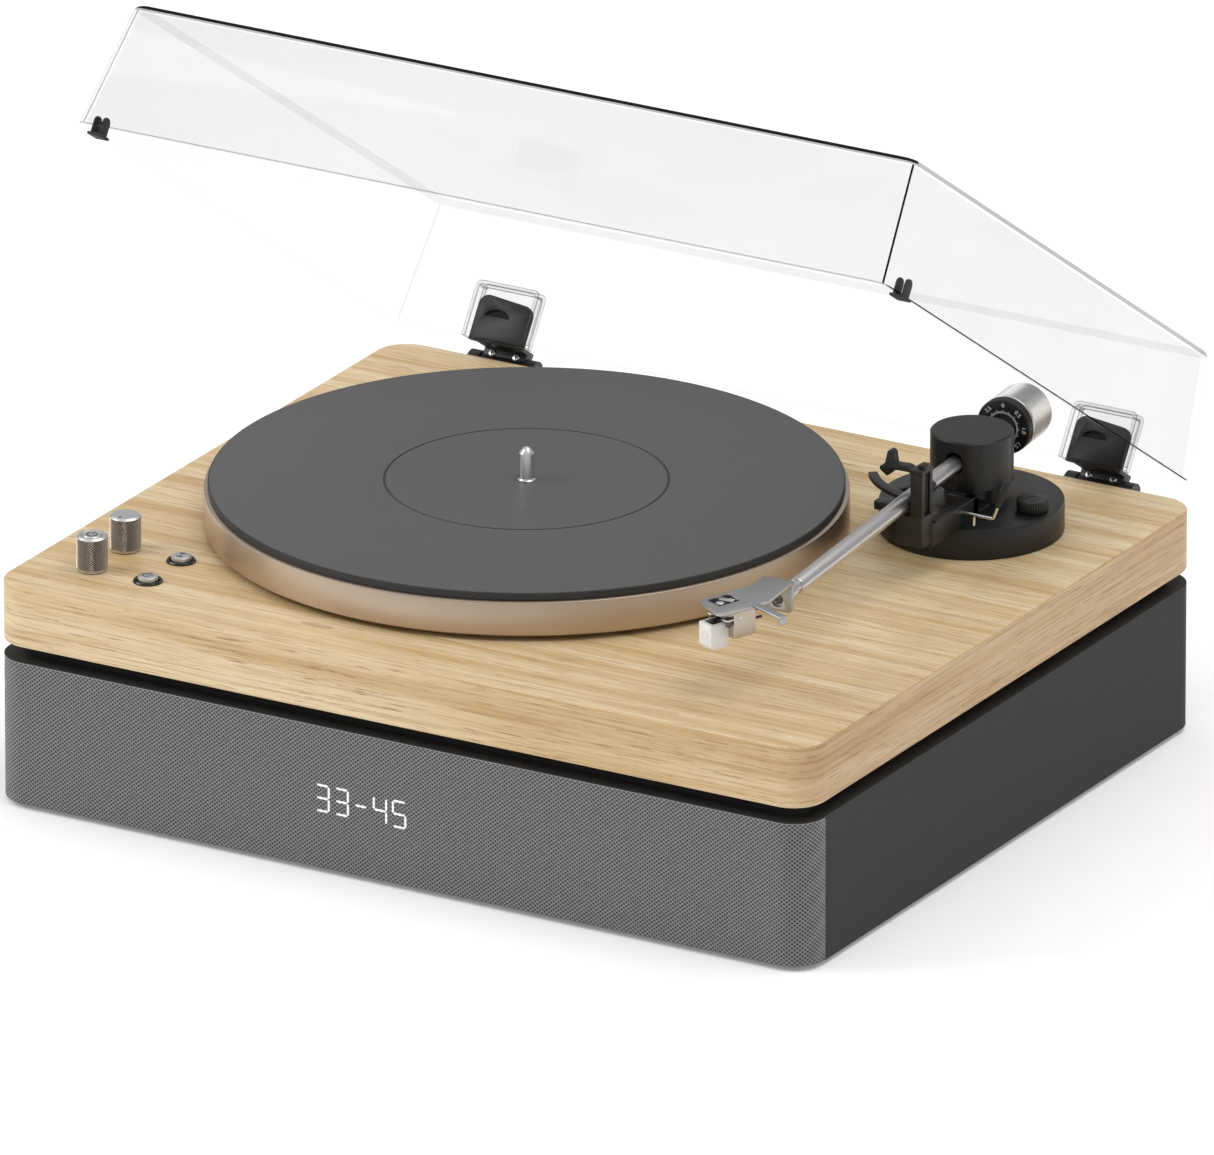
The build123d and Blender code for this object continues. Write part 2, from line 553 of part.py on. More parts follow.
def counterweight():
    """The force dial and the weight, turning on a threaded sleeve behind the pivot."""
    front = WEIGHT_AT
    back = front - DIAL_T - WEIGHT_T
    bore = 3.6 + RUN
    shoulder = front - DIAL_T - GAP
    sleeve = rod_x((back + 2, shoulder), 0, 0, 6.0) + rod_x((shoulder, front - 0.4), 0, 0, 5.0)
    save("weight_sleeve", arm_frame() * (sleeve - rod_x((-99, 0), 0, 0, bore)))
    weight = rod_x((back, shoulder), 0, 0, WEIGHT_R)
    weight = chamfer(weight.edges().group_by(Axis.X)[0], 1.4)
    weight -= rod_x((-99, 0), 0, 0, 6.0 + RUN)
    save("counterweight", arm_frame() * weight)
    dial = rod_x((front - DIAL_T, front), 0, 0, WEIGHT_R)
    dial = chamfer(dial.edges().group_by(Axis.X)[-1], 0.8)
    save("force_dial", arm_frame() * (dial - rod_x((-99, 0), 0, 0, 5.0 + RUN)))


# ---- dust cover and hinges ----------------------------------------------------------------
def shell_block(grow, z, height):
    """A tapered block of the cover: its outer skin, or with a negative grow its hollow."""
    share = (z - COVER_BOTTOM) / COVER_H, (z + height - COVER_BOTTOM) / COVER_H
    faces = []
    for level, part in zip((z, z + height), share):
        half = COVER_W / 2 - DRAFT_SIDE * part + grow
        front = COVER_FRONT + DRAFT_FRONT * part - grow
        back = COVER_BACK - DRAFT_BACK * part + grow
        outline = RectangleRounded(2 * half, back - front, 6.0 + grow)
        faces.append(Pos(0, (front + back) / 2, level) * outline)
    return loft(faces)


def cover():
    skin = shell_block(0.0, COVER_BOTTOM, COVER_H)
    hollow = shell_block(-COVER_T, COVER_BOTTOM - 1, COVER_H - COVER_T + 1)
    shell = skin - hollow
    pockets, tongues, brackets, pins = [], [], [], []
    for x in HINGE_XS:
        wide = (x - 17.2, x + 17.2)
        pocket = box(wide, (COVER_BACK - 3, COVER_BACK + 7), (COVER_BOTTOM, COVER_BOTTOM + 28)) - skin
        pocket -= box((x - 13, x + 13), (COVER_BACK + 1, 200), (0, COVER_BOTTOM + 2.2))
        slot = box((x - 15, x + 15), (COVER_BACK + 1.2, COVER_BACK + 5.2), (0, COVER_BOTTOM + 26))
        pockets.append(pocket - slot)
        tongues.append(tongue(x))
        brackets.append(bracket(x))
        pins.append(rod_x((x - 17, x + 17), HINGE_Y, HINGE_Z, 2.0))
    for pocket in pockets:
        shell += pocket
    save("dust_cover", opened(shell))
    save("hinge_tongues", *[opened(t) for t in tongues])
    save("hinge_brackets", *brackets)
    save("hinge_pins", *pins)

    bumpers = []
    for side in (-1, 1):
        x = side * (COVER_W / 2 - COVER_T / 2 - 0.3)
        pad = box((x - 3.2, x + 3.2), (-158.0, -149.0), (DECK + GAP, COVER_BOTTOM + 7))
        bumpers.append(opened(pad - shell))
    save("cover_bumpers", *bumpers)


def tongue(x):
    """The blade that the cover's pocket slides onto, with its knuckle on the hinge pin."""
    blade_y = (COVER_BACK + 1.5, COVER_BACK + 4.9)
    blade = box((x - 14.8, x + 14.8), blade_y, (COVER_BOTTOM - 0.6, COVER_BOTTOM + 25))
    knee = box((x - 11.5, x + 11.5), (blade_y[0], HINGE_Y + 4), (COVER_BOTTOM - 0.6, COVER_BOTTOM + 1.6))
    drop = box((x - 11.5, x + 11.5), (HINGE_Y - 3, HINGE_Y + 4), (HINGE_Z, COVER_BOTTOM + 1.6))
    knuckle = rod_x((x - 11.5, x + 11.5), HINGE_Y, HINGE_Z, 4.4)
    whole = blade + knee + drop + knuckle
    return whole - rod_x((x - 20, x + 20), HINGE_Y, HINGE_Z, 2.0 + RUN)


def bracket(x):
    """The hinge's fixed half, screwed to the plinth's back, with an ear at each end."""
    back = DEPTH / 2
    plate = box((x - 18, x + 18), (back, back + 2), (84, DECK - 1.2))
    whole = plate
    for side in (-1, 1):
        ends = sorted((x + side * 12.0, x + side * 18.0))
        whole += box(ends, (back, HINGE_Y + 2), (92, HINGE_Z + 4)) + rod_x(ends, HINGE_Y, HINGE_Z, 5.2)
    return whole - rod_x((x - 17, x + 17), HINGE_Y, HINGE_Z, 2.0)


os.makedirs("parts", exist_ok=True)
cabinet()
plinth()
controls()
drive()
tonearm_base()
tonearm()
cover()
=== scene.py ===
"""Looks of the record player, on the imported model's frame. Materials, lights and the camera are
in metres, and the shapes in millimetres until piece() scales them."""

import json
from math import copysign, cos, pi, radians, sin, tan

import bmesh
import bpy
from mathutils import Matrix, Vector


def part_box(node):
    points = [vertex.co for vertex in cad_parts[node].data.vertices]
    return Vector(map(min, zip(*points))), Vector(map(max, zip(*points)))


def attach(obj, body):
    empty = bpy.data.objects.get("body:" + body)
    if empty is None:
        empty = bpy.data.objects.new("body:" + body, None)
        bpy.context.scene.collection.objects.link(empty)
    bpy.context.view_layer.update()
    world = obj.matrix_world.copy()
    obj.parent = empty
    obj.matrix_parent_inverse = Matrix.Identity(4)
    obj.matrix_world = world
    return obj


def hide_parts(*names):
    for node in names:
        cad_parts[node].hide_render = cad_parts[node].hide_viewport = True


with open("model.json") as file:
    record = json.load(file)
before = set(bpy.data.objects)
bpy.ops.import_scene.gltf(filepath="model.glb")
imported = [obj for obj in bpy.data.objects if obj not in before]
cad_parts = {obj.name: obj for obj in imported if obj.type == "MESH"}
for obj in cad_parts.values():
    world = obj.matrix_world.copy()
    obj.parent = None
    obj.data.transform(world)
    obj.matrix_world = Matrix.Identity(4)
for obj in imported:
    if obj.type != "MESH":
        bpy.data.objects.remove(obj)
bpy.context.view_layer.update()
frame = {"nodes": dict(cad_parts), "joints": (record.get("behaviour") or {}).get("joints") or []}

MM = 0.001
JOINTS = {joint["name"]: joint for joint in frame["joints"]}


# ---- places, most of them read from the frame ----
def rotation(degrees, axis="Z"):
    return Matrix.Rotation(radians(degrees), 4, axis)


def arm_matrix():
    """The parked arm's own frame: x along the arm, y outward, z up, from the pivot."""
    along = -Vector(JOINTS["counterweight_travel"]["axis"])
    side = -Vector(JOINTS["arm_lift"]["axis"])
    up = along.cross(side)
    turn = Matrix((along, side, up)).transposed().to_4x4()
    return Matrix.Translation(JOINTS["arm_lift"]["pos_m"]) @ turn @ TO_METRES


def cover_matrix():
    """Carries the closed cover, in millimetres, to where it stands open."""
    hinge = Matrix.Translation(JOINTS["cover_hinge"]["pos_m"])
    opening = rotation(JOINTS["cover_hinge"]["range_deg"][0], "X")
    return hinge @ opening @ hinge.inverted() @ TO_METRES


TO_METRES = Matrix.Scale(MM, 4)
HEADSHELL_TURN = -26
ARM = arm_matrix()
FRAMES = {"tonearm": ARM, "counterweight": ARM, "force_dial": ARM, "cover": cover_matrix()}
CARTRIDGE = ARM @ Matrix.Translation((252, -13.5, 0)) @ rotation(HEADSHELL_TURN)
PIVOT = Vector(JOINTS["arm_lift"]["pos_m"]) / MM
HINGE = Vector(JOINTS["cover_hinge"]["pos_m"]) / MM
LOW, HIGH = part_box("wood_plinth")
DECK = HIGH.z / MM
WIDTH, DEPTH = (HIGH.x - LOW.x) / MM, (HIGH.y - LOW.y) / MM
CORNER_R = 16
DISC_TOP = 125
STRIP_WIDTH = 61 * MM
THREAD_PITCH = 1.75 * MM


# ---- node trees ----
class Tree:
    """A material's node tree, with short ways to add what the materials share."""

    def __init__(self, name):
        self.material = bpy.data.materials.new(name)
        self.material.use_nodes = True
        self.nodes = self.material.node_tree.nodes
        self.link = self.material.node_tree.links.new
        self.shader = self.nodes["Principled BSDF"]
        self.output = self.nodes["Material Output"]
        self.place = self.add("ShaderNodeTexCoord").outputs["Object"]

    def add(self, kind, **values):
        node = self.nodes.new(kind)
        for key, value in values.items():
            setattr(node, key, value)
        return node

    def feed(self, node, **sockets):
        """Fills sockets, named or numbered as in i0, and gives the node's first output."""
        for key, value in sockets.items():
            socket = node.inputs[int(key[1:]) if key[1:].isdigit() else key.replace("_", " ")]
            if isinstance(value, bpy.types.NodeSocket):
                self.link(value, socket)
            else:
                socket.default_value = value
        return node.outputs[0]

    def split(self, vector):
        node = self.add("ShaderNodeSeparateXYZ")
        self.feed(node, i0=vector)
        return node.outputs

    def join(self, x, y, z=0):
        return self.feed(self.add("ShaderNodeCombineXYZ"), i0=x, i1=y, i2=z)

    def math(self, operation, first, second=0, third=0):
        node = self.add("ShaderNodeMath", operation=operation)
        return self.feed(node, i0=first, i1=second, i2=third)

    def stretched(self, scale, place=None):
        return self.feed(self.add("ShaderNodeMapping"), Vector=place or self.place, Scale=scale)

    def noise(self, place, scale, detail=2, roughness=0.5, distortion=0):
        node = self.add("ShaderNodeTexNoise")
        self.feed(node, Vector=place, Scale=scale, Detail=detail)
        return self.feed(node, Roughness=roughness, Distortion=distortion)

    def ramp(self, value, *stops):
        """Turns a value into a colour by (place, colour) stops."""
        node = self.add("ShaderNodeValToRGB")
        elements = node.color_ramp.elements
        while len(elements) < len(stops):
            elements.new(0.5)
        for element, (at, colour) in zip(elements, stops):
            element.position = at
            element.color = (*colour, 1)
        return self.feed(node, Fac=value)

    def map(self, value, low, high, from_low=0, from_high=1):
        node = self.add("ShaderNodeMapRange")
        return self.feed(node, i0=value, i1=from_low, i2=from_high, i3=low, i4=high)

    def mix(self, share, first, second, blend="MIX"):
        node = self.add("ShaderNodeMix", data_type="RGBA", blend_type=blend)
        self.feed(node, i0=share, i6=first, i7=second)
        return node.outputs[2]

    def finish(self, colour, roughness, relief=None, **values):
        """Fills the shader and gives the material; relief is (height, strength, distance)."""
        if relief:
            bump = dict(zip(("Height", "Strength", "Distance"), relief))
            values["Normal"] = self.feed(self.add("ShaderNodeBump"), **bump)
        self.feed(self.shader, Base_Color=colour, Roughness=roughness, **values)
        return self.material


def shade(colour, factor):
    return tuple(channel * factor for channel in colour)


def moulded(name, colour, roughness, grain=0.25, scale=1400, vary=0.06, **values):
    """Moulded plastic or rubber: a fine spark-eroded grain and slightly uneven tone."""
    tree = Tree(name)
    broad = tree.noise(tree.place, 60, 3)
    fine = tree.noise(tree.place, scale, 2, 0.6)
    toned = tree.ramp(broad, (0.3, shade(colour, 1 - vary)), (0.7, shade(colour, 1 + vary)))
    gloss = tree.map(fine, roughness - 0.06, roughness + 0.08)
    return tree.finish(toned, gloss, (fine, grain, 0.0001), **values)


def metal(name, colour, roughness, scale=(1, 1, 1), density=1800, grain=0.12, vary=0.05, groove_shade=None):
    """Bead-blasted metal, or brushed along the axes whose scale is small; painted shade darkens its grooves.
    """
    tree = Tree(name)
    fine = tree.noise(tree.stretched(scale), density, 3, 0.6)
    broad = tree.noise(tree.place, 45, 2)
    toned = tree.ramp(broad, (0.25, shade(colour, 1 - vary)), (0.75, shade(colour, 1 + vary)))
    # Painted shade: where ambient occlusion finds a groove, the colour is scaled darker.
    if groove_shade:
        reach = tree.add("ShaderNodeAmbientOcclusion", samples=6, only_local=True)
        tree.feed(reach, Distance=0.9 * MM)
        light = tree.map(reach.outputs["AO"], groove_shade, 1, 0.55, 0.95)
        toned = tree.feed(tree.add("ShaderNodeVectorMath", operation="SCALE"), i0=toned, Scale=light)
    gloss = tree.map(fine, roughness - 0.07, roughness + 0.09)
    return tree.finish(toned, gloss, (fine, grain, 0.00006), Metallic=1)


def turned(name, colour, roughness, axis_at):
    """Metal with turning rings about an upright axis."""
    tree = Tree(name)
    shift = tree.add("ShaderNodeVectorMath", operation="SUBTRACT")
    x, y, z = tree.split(tree.feed(shift, i0=tree.place, i1=(axis_at[0], axis_at[1], 0)))
    squares = [tree.math("MULTIPLY", side, side) for side in (x, y)]
    rings = tree.join(tree.math("POWER", tree.math("ADD", *squares), 0.5), z)
    lines = tree.noise(rings, 900, 3, 0.7)
    broad = tree.noise(tree.place, 30, 2)
    toned = tree.ramp(broad, (0.3, shade(colour, 0.96)), (0.7, shade(colour, 1.03)))
    gloss = tree.map(lines, roughness - 0.06, roughness + 0.08)
    return tree.finish(toned, gloss, (lines, 0.1, 0.00005), Metallic=1)


def wood():
    """Pale edge-glued strips: grain along X on top, and running round the upright faces."""
    tree = Tree("light_wood")
    x, y, z = tree.split(tree.place)
    facing = tree.split(tree.add("ShaderNodeTexCoord").outputs["Normal"])
    # Painted shade: this share grows as a face turns to look along x.
    side_shade = tree.map(tree.math("ABSOLUTE", facing[0]), 0, 1, 0.35, 0.95)
    upright = tree.math("LESS_THAN", tree.math("ABSOLUTE", facing[2]), 0.7)
    from_front = tree.math("ADD", y, DEPTH / 2 * MM)
    inward = tree.math("MULTIPLY", from_front, tree.math("SIGN", x))
    wrapped = tree.join(tree.math("ADD", x, inward), -DEPTH / 2 * MM, tree.math("ADD", z, 0.37))
    choose = tree.add("ShaderNodeMix", data_type="VECTOR")
    tree.feed(choose, i0=upright, i4=tree.place, i5=wrapped)
    along, across, up = tree.split(choose.outputs[1])
    strip = tree.math("FLOOR", tree.math("DIVIDE", tree.math("ADD", across, 0.021), STRIP_WIDTH))
    tone = tree.add("ShaderNodeTexWhiteNoise", noise_dimensions="1D")
    tree.feed(tone, W=strip)
    shifted = tree.join(tree.math("ADD", along, tree.math("MULTIPLY", strip, 0.83)), across, up)
    bands = tree.noise(tree.stretched((1.3, 26, 26), shifted), 3.2, 4, 0.55, 0.35)
    streaks = tree.noise(tree.stretched((7, 480, 480), shifted), 1.6, 5, 0.75)
    fibres = tree.noise(tree.stretched((46, 1300, 1300), shifted), 1, 3, 0.7)
    base = tree.ramp(
        bands,
        (0.28, (0.57, 0.375, 0.165)),
        (0.45, (0.72, 0.535, 0.295)),
        (0.62, (0.84, 0.685, 0.445)),
        (0.85, (0.63, 0.43, 0.205)),
    )
    dark_grain = tree.ramp(bands, (0, (0.44, 0.26, 0.10)), (1, (0.54, 0.34, 0.155)))
    toned = tree.mix(tree.map(streaks, 0, 0.95, 0.5, 0.68), base, dark_grain)
    toned = tree.mix(tree.map(fibres, 0, 0.85, 0.565, 0.69), toned, (0.29, 0.145, 0.05, 1))
    strip_tone = tree.ramp(tone.outputs[0], (0, (0.93, 0.91, 0.88)), (1, (1, 1, 1)))
    toned = tree.mix(1, toned, strip_tone, "MULTIPLY")
    # Painted shade: faces looking along x are darkened, so the sides read darker than the top and front.
    toned = tree.mix(side_shade, toned, (0.84, 0.78, 0.765, 1), "MULTIPLY")
    knots = tree.add("ShaderNodeTexVoronoi")
    tree.feed(knots, Vector=tree.stretched((6, 22, 22), shifted), Scale=1)
    dark = tree.math("LESS_THAN", knots.outputs["Distance"], 0.055)
    toned = tree.mix(tree.math("MULTIPLY", dark, 0.5), toned, (0.36, 0.2, 0.09, 1))
    relief = tree.math("ADD", fibres, tree.math("MULTIPLY", streaks, 0.6))
    coat = {"Coat_Weight": 0.15, "Coat_Roughness": 0.25, "Specular_IOR_Level": 0.4}
    return tree.finish(toned, tree.map(streaks, 0.38, 0.52), (relief, 0.12, 0.00012), **coat)


def weave_height(tree):
    """Height of a plain weave turned by 45 degrees, and the cloth's own two coordinates."""
    flat = tree.add("ShaderNodeAttribute", attribute_name="weave").outputs["Vector"]
    turn = tree.add("ShaderNodeVectorRotate", rotation_type="Z_AXIS")
    waves = []
    for side in tree.split(tree.feed(turn, Vector=flat, Angle=radians(45)))[:2]:
        angle = tree.math("MULTIPLY", side, pi / THREAD_PITCH)
        waves.append(tree.math("ABSOLUTE", tree.math("SINE", angle)))
    return tree.math("POWER", tree.math("MULTIPLY", *waves), 0.6), flat


def cloth():
    """Grey speaker cloth: light crossing threads round small dark holes."""
    tree = Tree("speaker_cloth")
    holes, flat = weave_height(tree)
    uneven = tree.noise(flat, 420, 3, 0.7)
    threads = tree.ramp(uneven, (0.3, (0.2, 0.2, 0.202)), (0.7, (0.32, 0.32, 0.322)))
    toned = tree.mix(tree.map(tree.noise(flat, 14, 2), 0, 0.35), threads, (0.24, 0.24, 0.242, 1))
    toned = tree.mix(tree.map(holes, 0, 1, 0.33, 0.86), toned, (0.014, 0.014, 0.015, 1))
    relief = (tree.math("SUBTRACT", 1, holes), 0.7, 0.0003)
    return tree.finish(toned, tree.map(uneven, 0.75, 0.95), relief, Sheen_Weight=0.25, Sheen_Roughness=0.5)


def display_light():
    """Display segments glowing through the cloth's threads."""
    tree = Tree("display_light")
    holes, flat = weave_height(tree)
    glow = tree.ramp(tree.map(holes, 0.3, 1), (0.2, (0.48, 0.49, 0.50)), (0.9, (0.8, 0.8, 0.8)))
    gloss = tree.map(tree.noise(flat, 420, 2), 0.6, 0.8)
    return tree.finish(glow, gloss, Emission_Color=glow, Emission_Strength=0.42)


def acrylic(name, tint, gloss):
    """Clear moulded sheet: what is behind shows through, with fine hairlines in its gloss."""
    tree = Tree(name)
    hairlines = tree.noise(tree.stretched((12, 300, 300)), 4, 4, 0.7)
    haze = tree.noise(tree.place, 9, 3)
    clear = tree.add("ShaderNodeBsdfTransparent")
    tree.link(tree.ramp(haze, (0.3, tint), (0.8, shade(tint, 0.985))), clear.inputs[0])
    mirror = tree.add("ShaderNodeBsdfGlossy")
    tree.feed(mirror, Color=(0.9, 0.9, 0.9, 1), Roughness=tree.map(hairlines, 0.03, 0.06))
    steep = tree.math("POWER", tree.add("ShaderNodeLayerWeight").outputs["Facing"], 5)
    front = tree.math("SUBTRACT", 1, tree.add("ShaderNodeNewGeometry").outputs["Backfacing"])
    share = tree.math("MULTIPLY", tree.math("MULTIPLY_ADD", steep, 0.35, 0.02), front)
    mix = tree.add("ShaderNodeMixShader")
    tree.feed(mix, i0=tree.math("MULTIPLY", share, gloss), i1=clear.outputs[0], i2=mirror.outputs[0])
    tree.link(mix.outputs[0], tree.output.inputs["Surface"])
    tree.nodes.remove(tree.shader)
    return tree.material


# ---- mesh building, in millimetres ----
def ring_points(radius, steps, start=0, sweep=2 * pi):
    """Points on an arc with both its ends, or on a whole ring."""
    angles = [start + sweep * i / steps for i in range(steps if sweep == 2 * pi else steps + 1)]
    return [(radius * cos(angle), radius * sin(angle)) for angle in angles]


def bridge(bm, loops, closed=True):
    """Faces between loops of equal length; a loop of one vertex is a point."""
    for low, high in zip(loops, loops[1:]):
        count = max(len(low), len(high))
        for i in range(count if closed else count - 1):
            j = (i + 1) % count
            corners = [low[i % len(low)], low[j % len(low)], high[j % len(high)], high[i % len(high)]]
            unique = list(dict.fromkeys(corners))
            if len(unique) > 2:
                bm.faces.new(unique)


def lathe(profile, steps=96):
    """Turns (radius, height) points about the z axis; a profile off the axis closes on itself."""
    bm = bmesh.new()
    loops = []
    for radius, height in profile:
        if radius < 1e-6:
            loops.append([bm.verts.new((0, 0, height))])
        else:
            loops.append([bm.verts.new((x, y, height)) for x, y in ring_points(radius, steps)])
    if profile[0][0] and profile[-1][0]:
        loops.append(loops[0])
    bridge(bm, loops)
    return bm


def rounded(points, radius, steps=5):
    """The same open profile with its inner corners rounded."""
    result = [Vector(points[0])]
    for before, corner, after in zip(points, points[1:], points[2:]):
        a, b, c = Vector(before), Vector(corner), Vector(after)
        first, last = (a - b).normalized(), (c - b).normalized()
        half = first.angle(last) / 2
        reach = min(radius / tan(half), (a - b).length * 0.45, (c - b).length * 0.45)
        bow = reach * tan(half)
        middle = b + (first + last).normalized() * (bow / sin(half))
        start, end = b + first * reach - middle, b + last * reach - middle
        for i in range(steps + 1):
            arm = start.lerp(end, i / steps).normalized() * bow
            result.append(middle + arm)
    result.append(Vector(points[-1]))
    return [tuple(p) for p in result]


def prism(outline, low, high, holes=()):
    """An upright block over a flat outline, with open holes through it."""
    bm = bmesh.new()
    rims = []
    for loop in (outline, *holes):
        floor = [bm.verts.new((x, y, low)) for x, y in loop]
        roof = [bm.verts.new((x, y, high)) for x, y in loop]
        bridge(bm, [floor, roof])
        rims.append((floor, roof))
    for level in (0, 1):
        edges = []
        for rim in rims:
            loop = rim[level]
            for i, vertex in enumerate(loop):
                edges.append(bm.edges.get((vertex, loop[(i + 1) % len(loop)])))
        bmesh.ops.triangle_fill(bm, use_beauty=True, use_dissolve=True, edges=edges)
    return bm


def block(x, y, z):
    return prism([(x[0], y[0]), (x[1], y[0]), (x[1], y[1]), (x[0], y[1])], z[0], z[1])


def soften(bm, width, segments=3, angle=30):
    """Rounds every edge sharper than the angle."""
    bmesh.ops.recalc_face_normals(bm, faces=bm.faces)
    limit = radians(angle)
    edges = [e for e in bm.edges if len(e.link_faces) == 2 and e.calc_face_angle(0) > limit]
    bmesh.ops.bevel(
        bm, geom=edges, offset=width, segments=segments, profile=0.5, affect="EDGES", clamp_overlap=True
    )
    return bm


def soft_block(x, y, z, width, segments=3):
    return soften(block(x, y, z), width, segments)


def moved(bm, matrix):
    bmesh.ops.transform(bm, matrix=matrix, verts=bm.verts)
    return bm


def place(x, y, z=0):
    return Matrix.Translation((x, y, z))


def turn_to(axis, at=(0, 0, 0)):
    """A matrix that lays a lathe's z axis along x or y."""
    return place(*at) @ (rotation(90, "Y") if axis == "x" else rotation(-90, "X"))


def joined(*meshes):
    """One mesh out of several, each given as a mesh or as (mesh, material index)."""
    whole = bmesh.new()
    for entry in meshes:
        bm, index = entry if isinstance(entry, tuple) else (entry, None)
        if index is not None:
            for face in bm.faces:
                face.material_index = index
        part = bpy.data.meshes.new("part")
        bm.to_mesh(part)
        bm.free()
        whole.from_mesh(part)
        bpy.data.meshes.remove(part)
    return whole


def placed(name, data):
    thing = bpy.data.objects.new(name, data)
    bpy.context.scene.collection.objects.link(thing)
    return thing


def piece(name, bm, body, materials, replaced=None, sharp=35, own_frame=None):
    """Puts a finished mesh in the scene, on its body, from its body's frame or from its own."""
    moved(bm, own_frame or FRAMES.get(body, TO_METRES))
    bmesh.ops.recalc_face_normals(bm, faces=bm.faces)
    limit = radians(sharp)
    for face in bm.faces:
        face.smooth = True
    for edge in bm.edges:
        edge.smooth = len(edge.link_faces) == 2 and edge.calc_face_angle(0) < limit
    mesh = bpy.data.meshes.new(name)
    bm.to_mesh(mesh)
    bm.free()
    thing = placed(name, mesh)
    for material in materials if isinstance(materials, list) else [materials]:
        mesh.materials.append(material)
    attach(thing, body)
    if replaced:
        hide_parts(replaced)
    return thing


def lettering(text, size, thickness):
    """Flat numerals as a mesh, centred on the origin in the xy plane."""
    curve = bpy.data.curves.new("numerals", "FONT")
    curve.body = text
    curve.size = size
    curve.extrude = thickness / 2
    curve.align_x = curve.align_y = "CENTER"
    curve.resolution_u = 3
    holder = bpy.data.objects.new("numerals", curve)
    mesh = bpy.data.meshes.new_from_object(holder)
    bm = bmesh.new()
    bm.from_mesh(mesh)
    bpy.data.objects.remove(holder)
    bpy.data.curves.remove(curve)
    bpy.data.meshes.remove(mesh)
    return bm


# ---- materials ----
PLATTER_AT = sum(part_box("platter"), Vector()) / 2
BLACK = moulded("black_plastic", (0.013, 0.013, 0.0135), 0.42)
SATIN_BLACK = moulded("satin_black", (0.0100, 0.0092, 0.0087), 0.34, 0.12, Specular_IOR_Level=0.4)
PANEL = moulded("dark_panel", (0.029, 0.029, 0.0293), 0.6, 0.2, 900, 0.03, Specular_IOR_Level=0.25)
# Near-black: the riser frame's own colour, and also painted shade in the headshell window and the hinge
# crescents.
RISER_AND_SHADE_BLACK = moulded("riser_and_shade_black", (0.006, 0.006, 0.006), 0.8)
RUBBER = moulded("black_rubber", (0.02, 0.02, 0.02), 0.7, 0.35, 900)
MAT = moulded("mat_rubber", (0.086, 0.086, 0.0875), 0.5, 0.10, 2200, 0.015)
# The mat's side is the same rubber as its top: painted shade makes it darker.
MAT_SIDE_SHADE = moulded("mat_side_painted_shade", (0.02, 0.02, 0.02), 0.6)
# Painted shade in the mat's groove.
GROOVE_SHADE = moulded("mat_groove_painted_shade", (0.035, 0.035, 0.035), 0.6)
WOOD = wood()
CLOTH = cloth()
LIGHT = display_light()
CHAMPAGNE = turned("champagne_aluminium", (0.54, 0.44, 0.345), 0.36, PLATTER_AT)
SATIN = metal("satin_silver", (0.66, 0.66, 0.655), 0.34)
# Silver knurl with a warm brown tint: painted reflection of the wood. Its grooves also get painted shade.
KNURL_WOOD_REFLECTION = metal("knurled_silver_wood_reflection", (0.62, 0.54, 0.47), 0.30, groove_shade=0.16)
STEEL = metal("polished_steel", (0.72, 0.72, 0.72), 0.16, (1, 1, 0.1))
BRASS = metal("brass", (0.72, 0.52, 0.22), 0.3)
CARTRIDGE_METAL = metal("cartridge_shell", (0.5, 0.44, 0.37), 0.38)
WHITE = moulded("white_plastic", (0.78, 0.77, 0.74), 0.35, 0.1)
INK = moulded("white_ink", (0.8, 0.8, 0.8), 0.5)
DARK_INK = moulded("dark_ink", (0.015, 0.015, 0.016), 0.45)
BOARD = moulded("circuit_board", (0.02, 0.12, 0.05), 0.4)
FIBRE = moulded("fibreboard", (0.22, 0.13, 0.07), 0.9, 0.5, 300)
PAPER = moulded("cone_paper", (0.03, 0.03, 0.03), 0.85, 0.5, 500)
FERRITE = moulded("ferrite", (0.06, 0.06, 0.065), 0.5)
CREAM = moulded("sub_platter_plastic", (0.6, 0.58, 0.53), 0.45)
RED = moulded("red_insulator", (0.45, 0.02, 0.02), 0.4)
CLEAR = acrylic("clear_acrylic", (0.952, 0.952, 0.953), 0.4)
# The three edge tints below are painted shade on the cover's rounded edges and pocket ends.
EDGE_FAINT_SHADE = acrylic("acrylic_edge_faint_shade", (0.84, 0.84, 0.845), 1)
EDGE_GREY_SHADE = acrylic("acrylic_edge_grey_shade", (0.5, 0.505, 0.51), 1)
EDGE_BLACK_SHADE = acrylic("acrylic_edge_black_shade", (0.012, 0.012, 0.012), 0.3)
GLOSS_BLACK = moulded("gloss_black", (0.012, 0.012, 0.012), 0.18, 0.05)
HEM = moulded("folded_thread", (0.30, 0.30, 0.302), 0.85, 0.4, 900)
GREY_INK = moulded("grey_ink", (0.16, 0.16, 0.16), 0.5)
ARM_METAL = metal("arm_aluminium", (0.56, 0.55, 0.54), 0.30, density=9000, grain=0.02, vary=0.015)
HEADSHELL_METAL = metal("headshell_aluminium", (0.42, 0.42, 0.42), 0.38)
DARK_STEEL = metal("dark_steel", (0.12, 0.12, 0.12), 0.35)
# Its grooves get painted shade from ambient occlusion.
BRIGHT_KNURL = metal("bright_knurl", (0.86, 0.86, 0.855), 0.30, groove_shade=0.14)

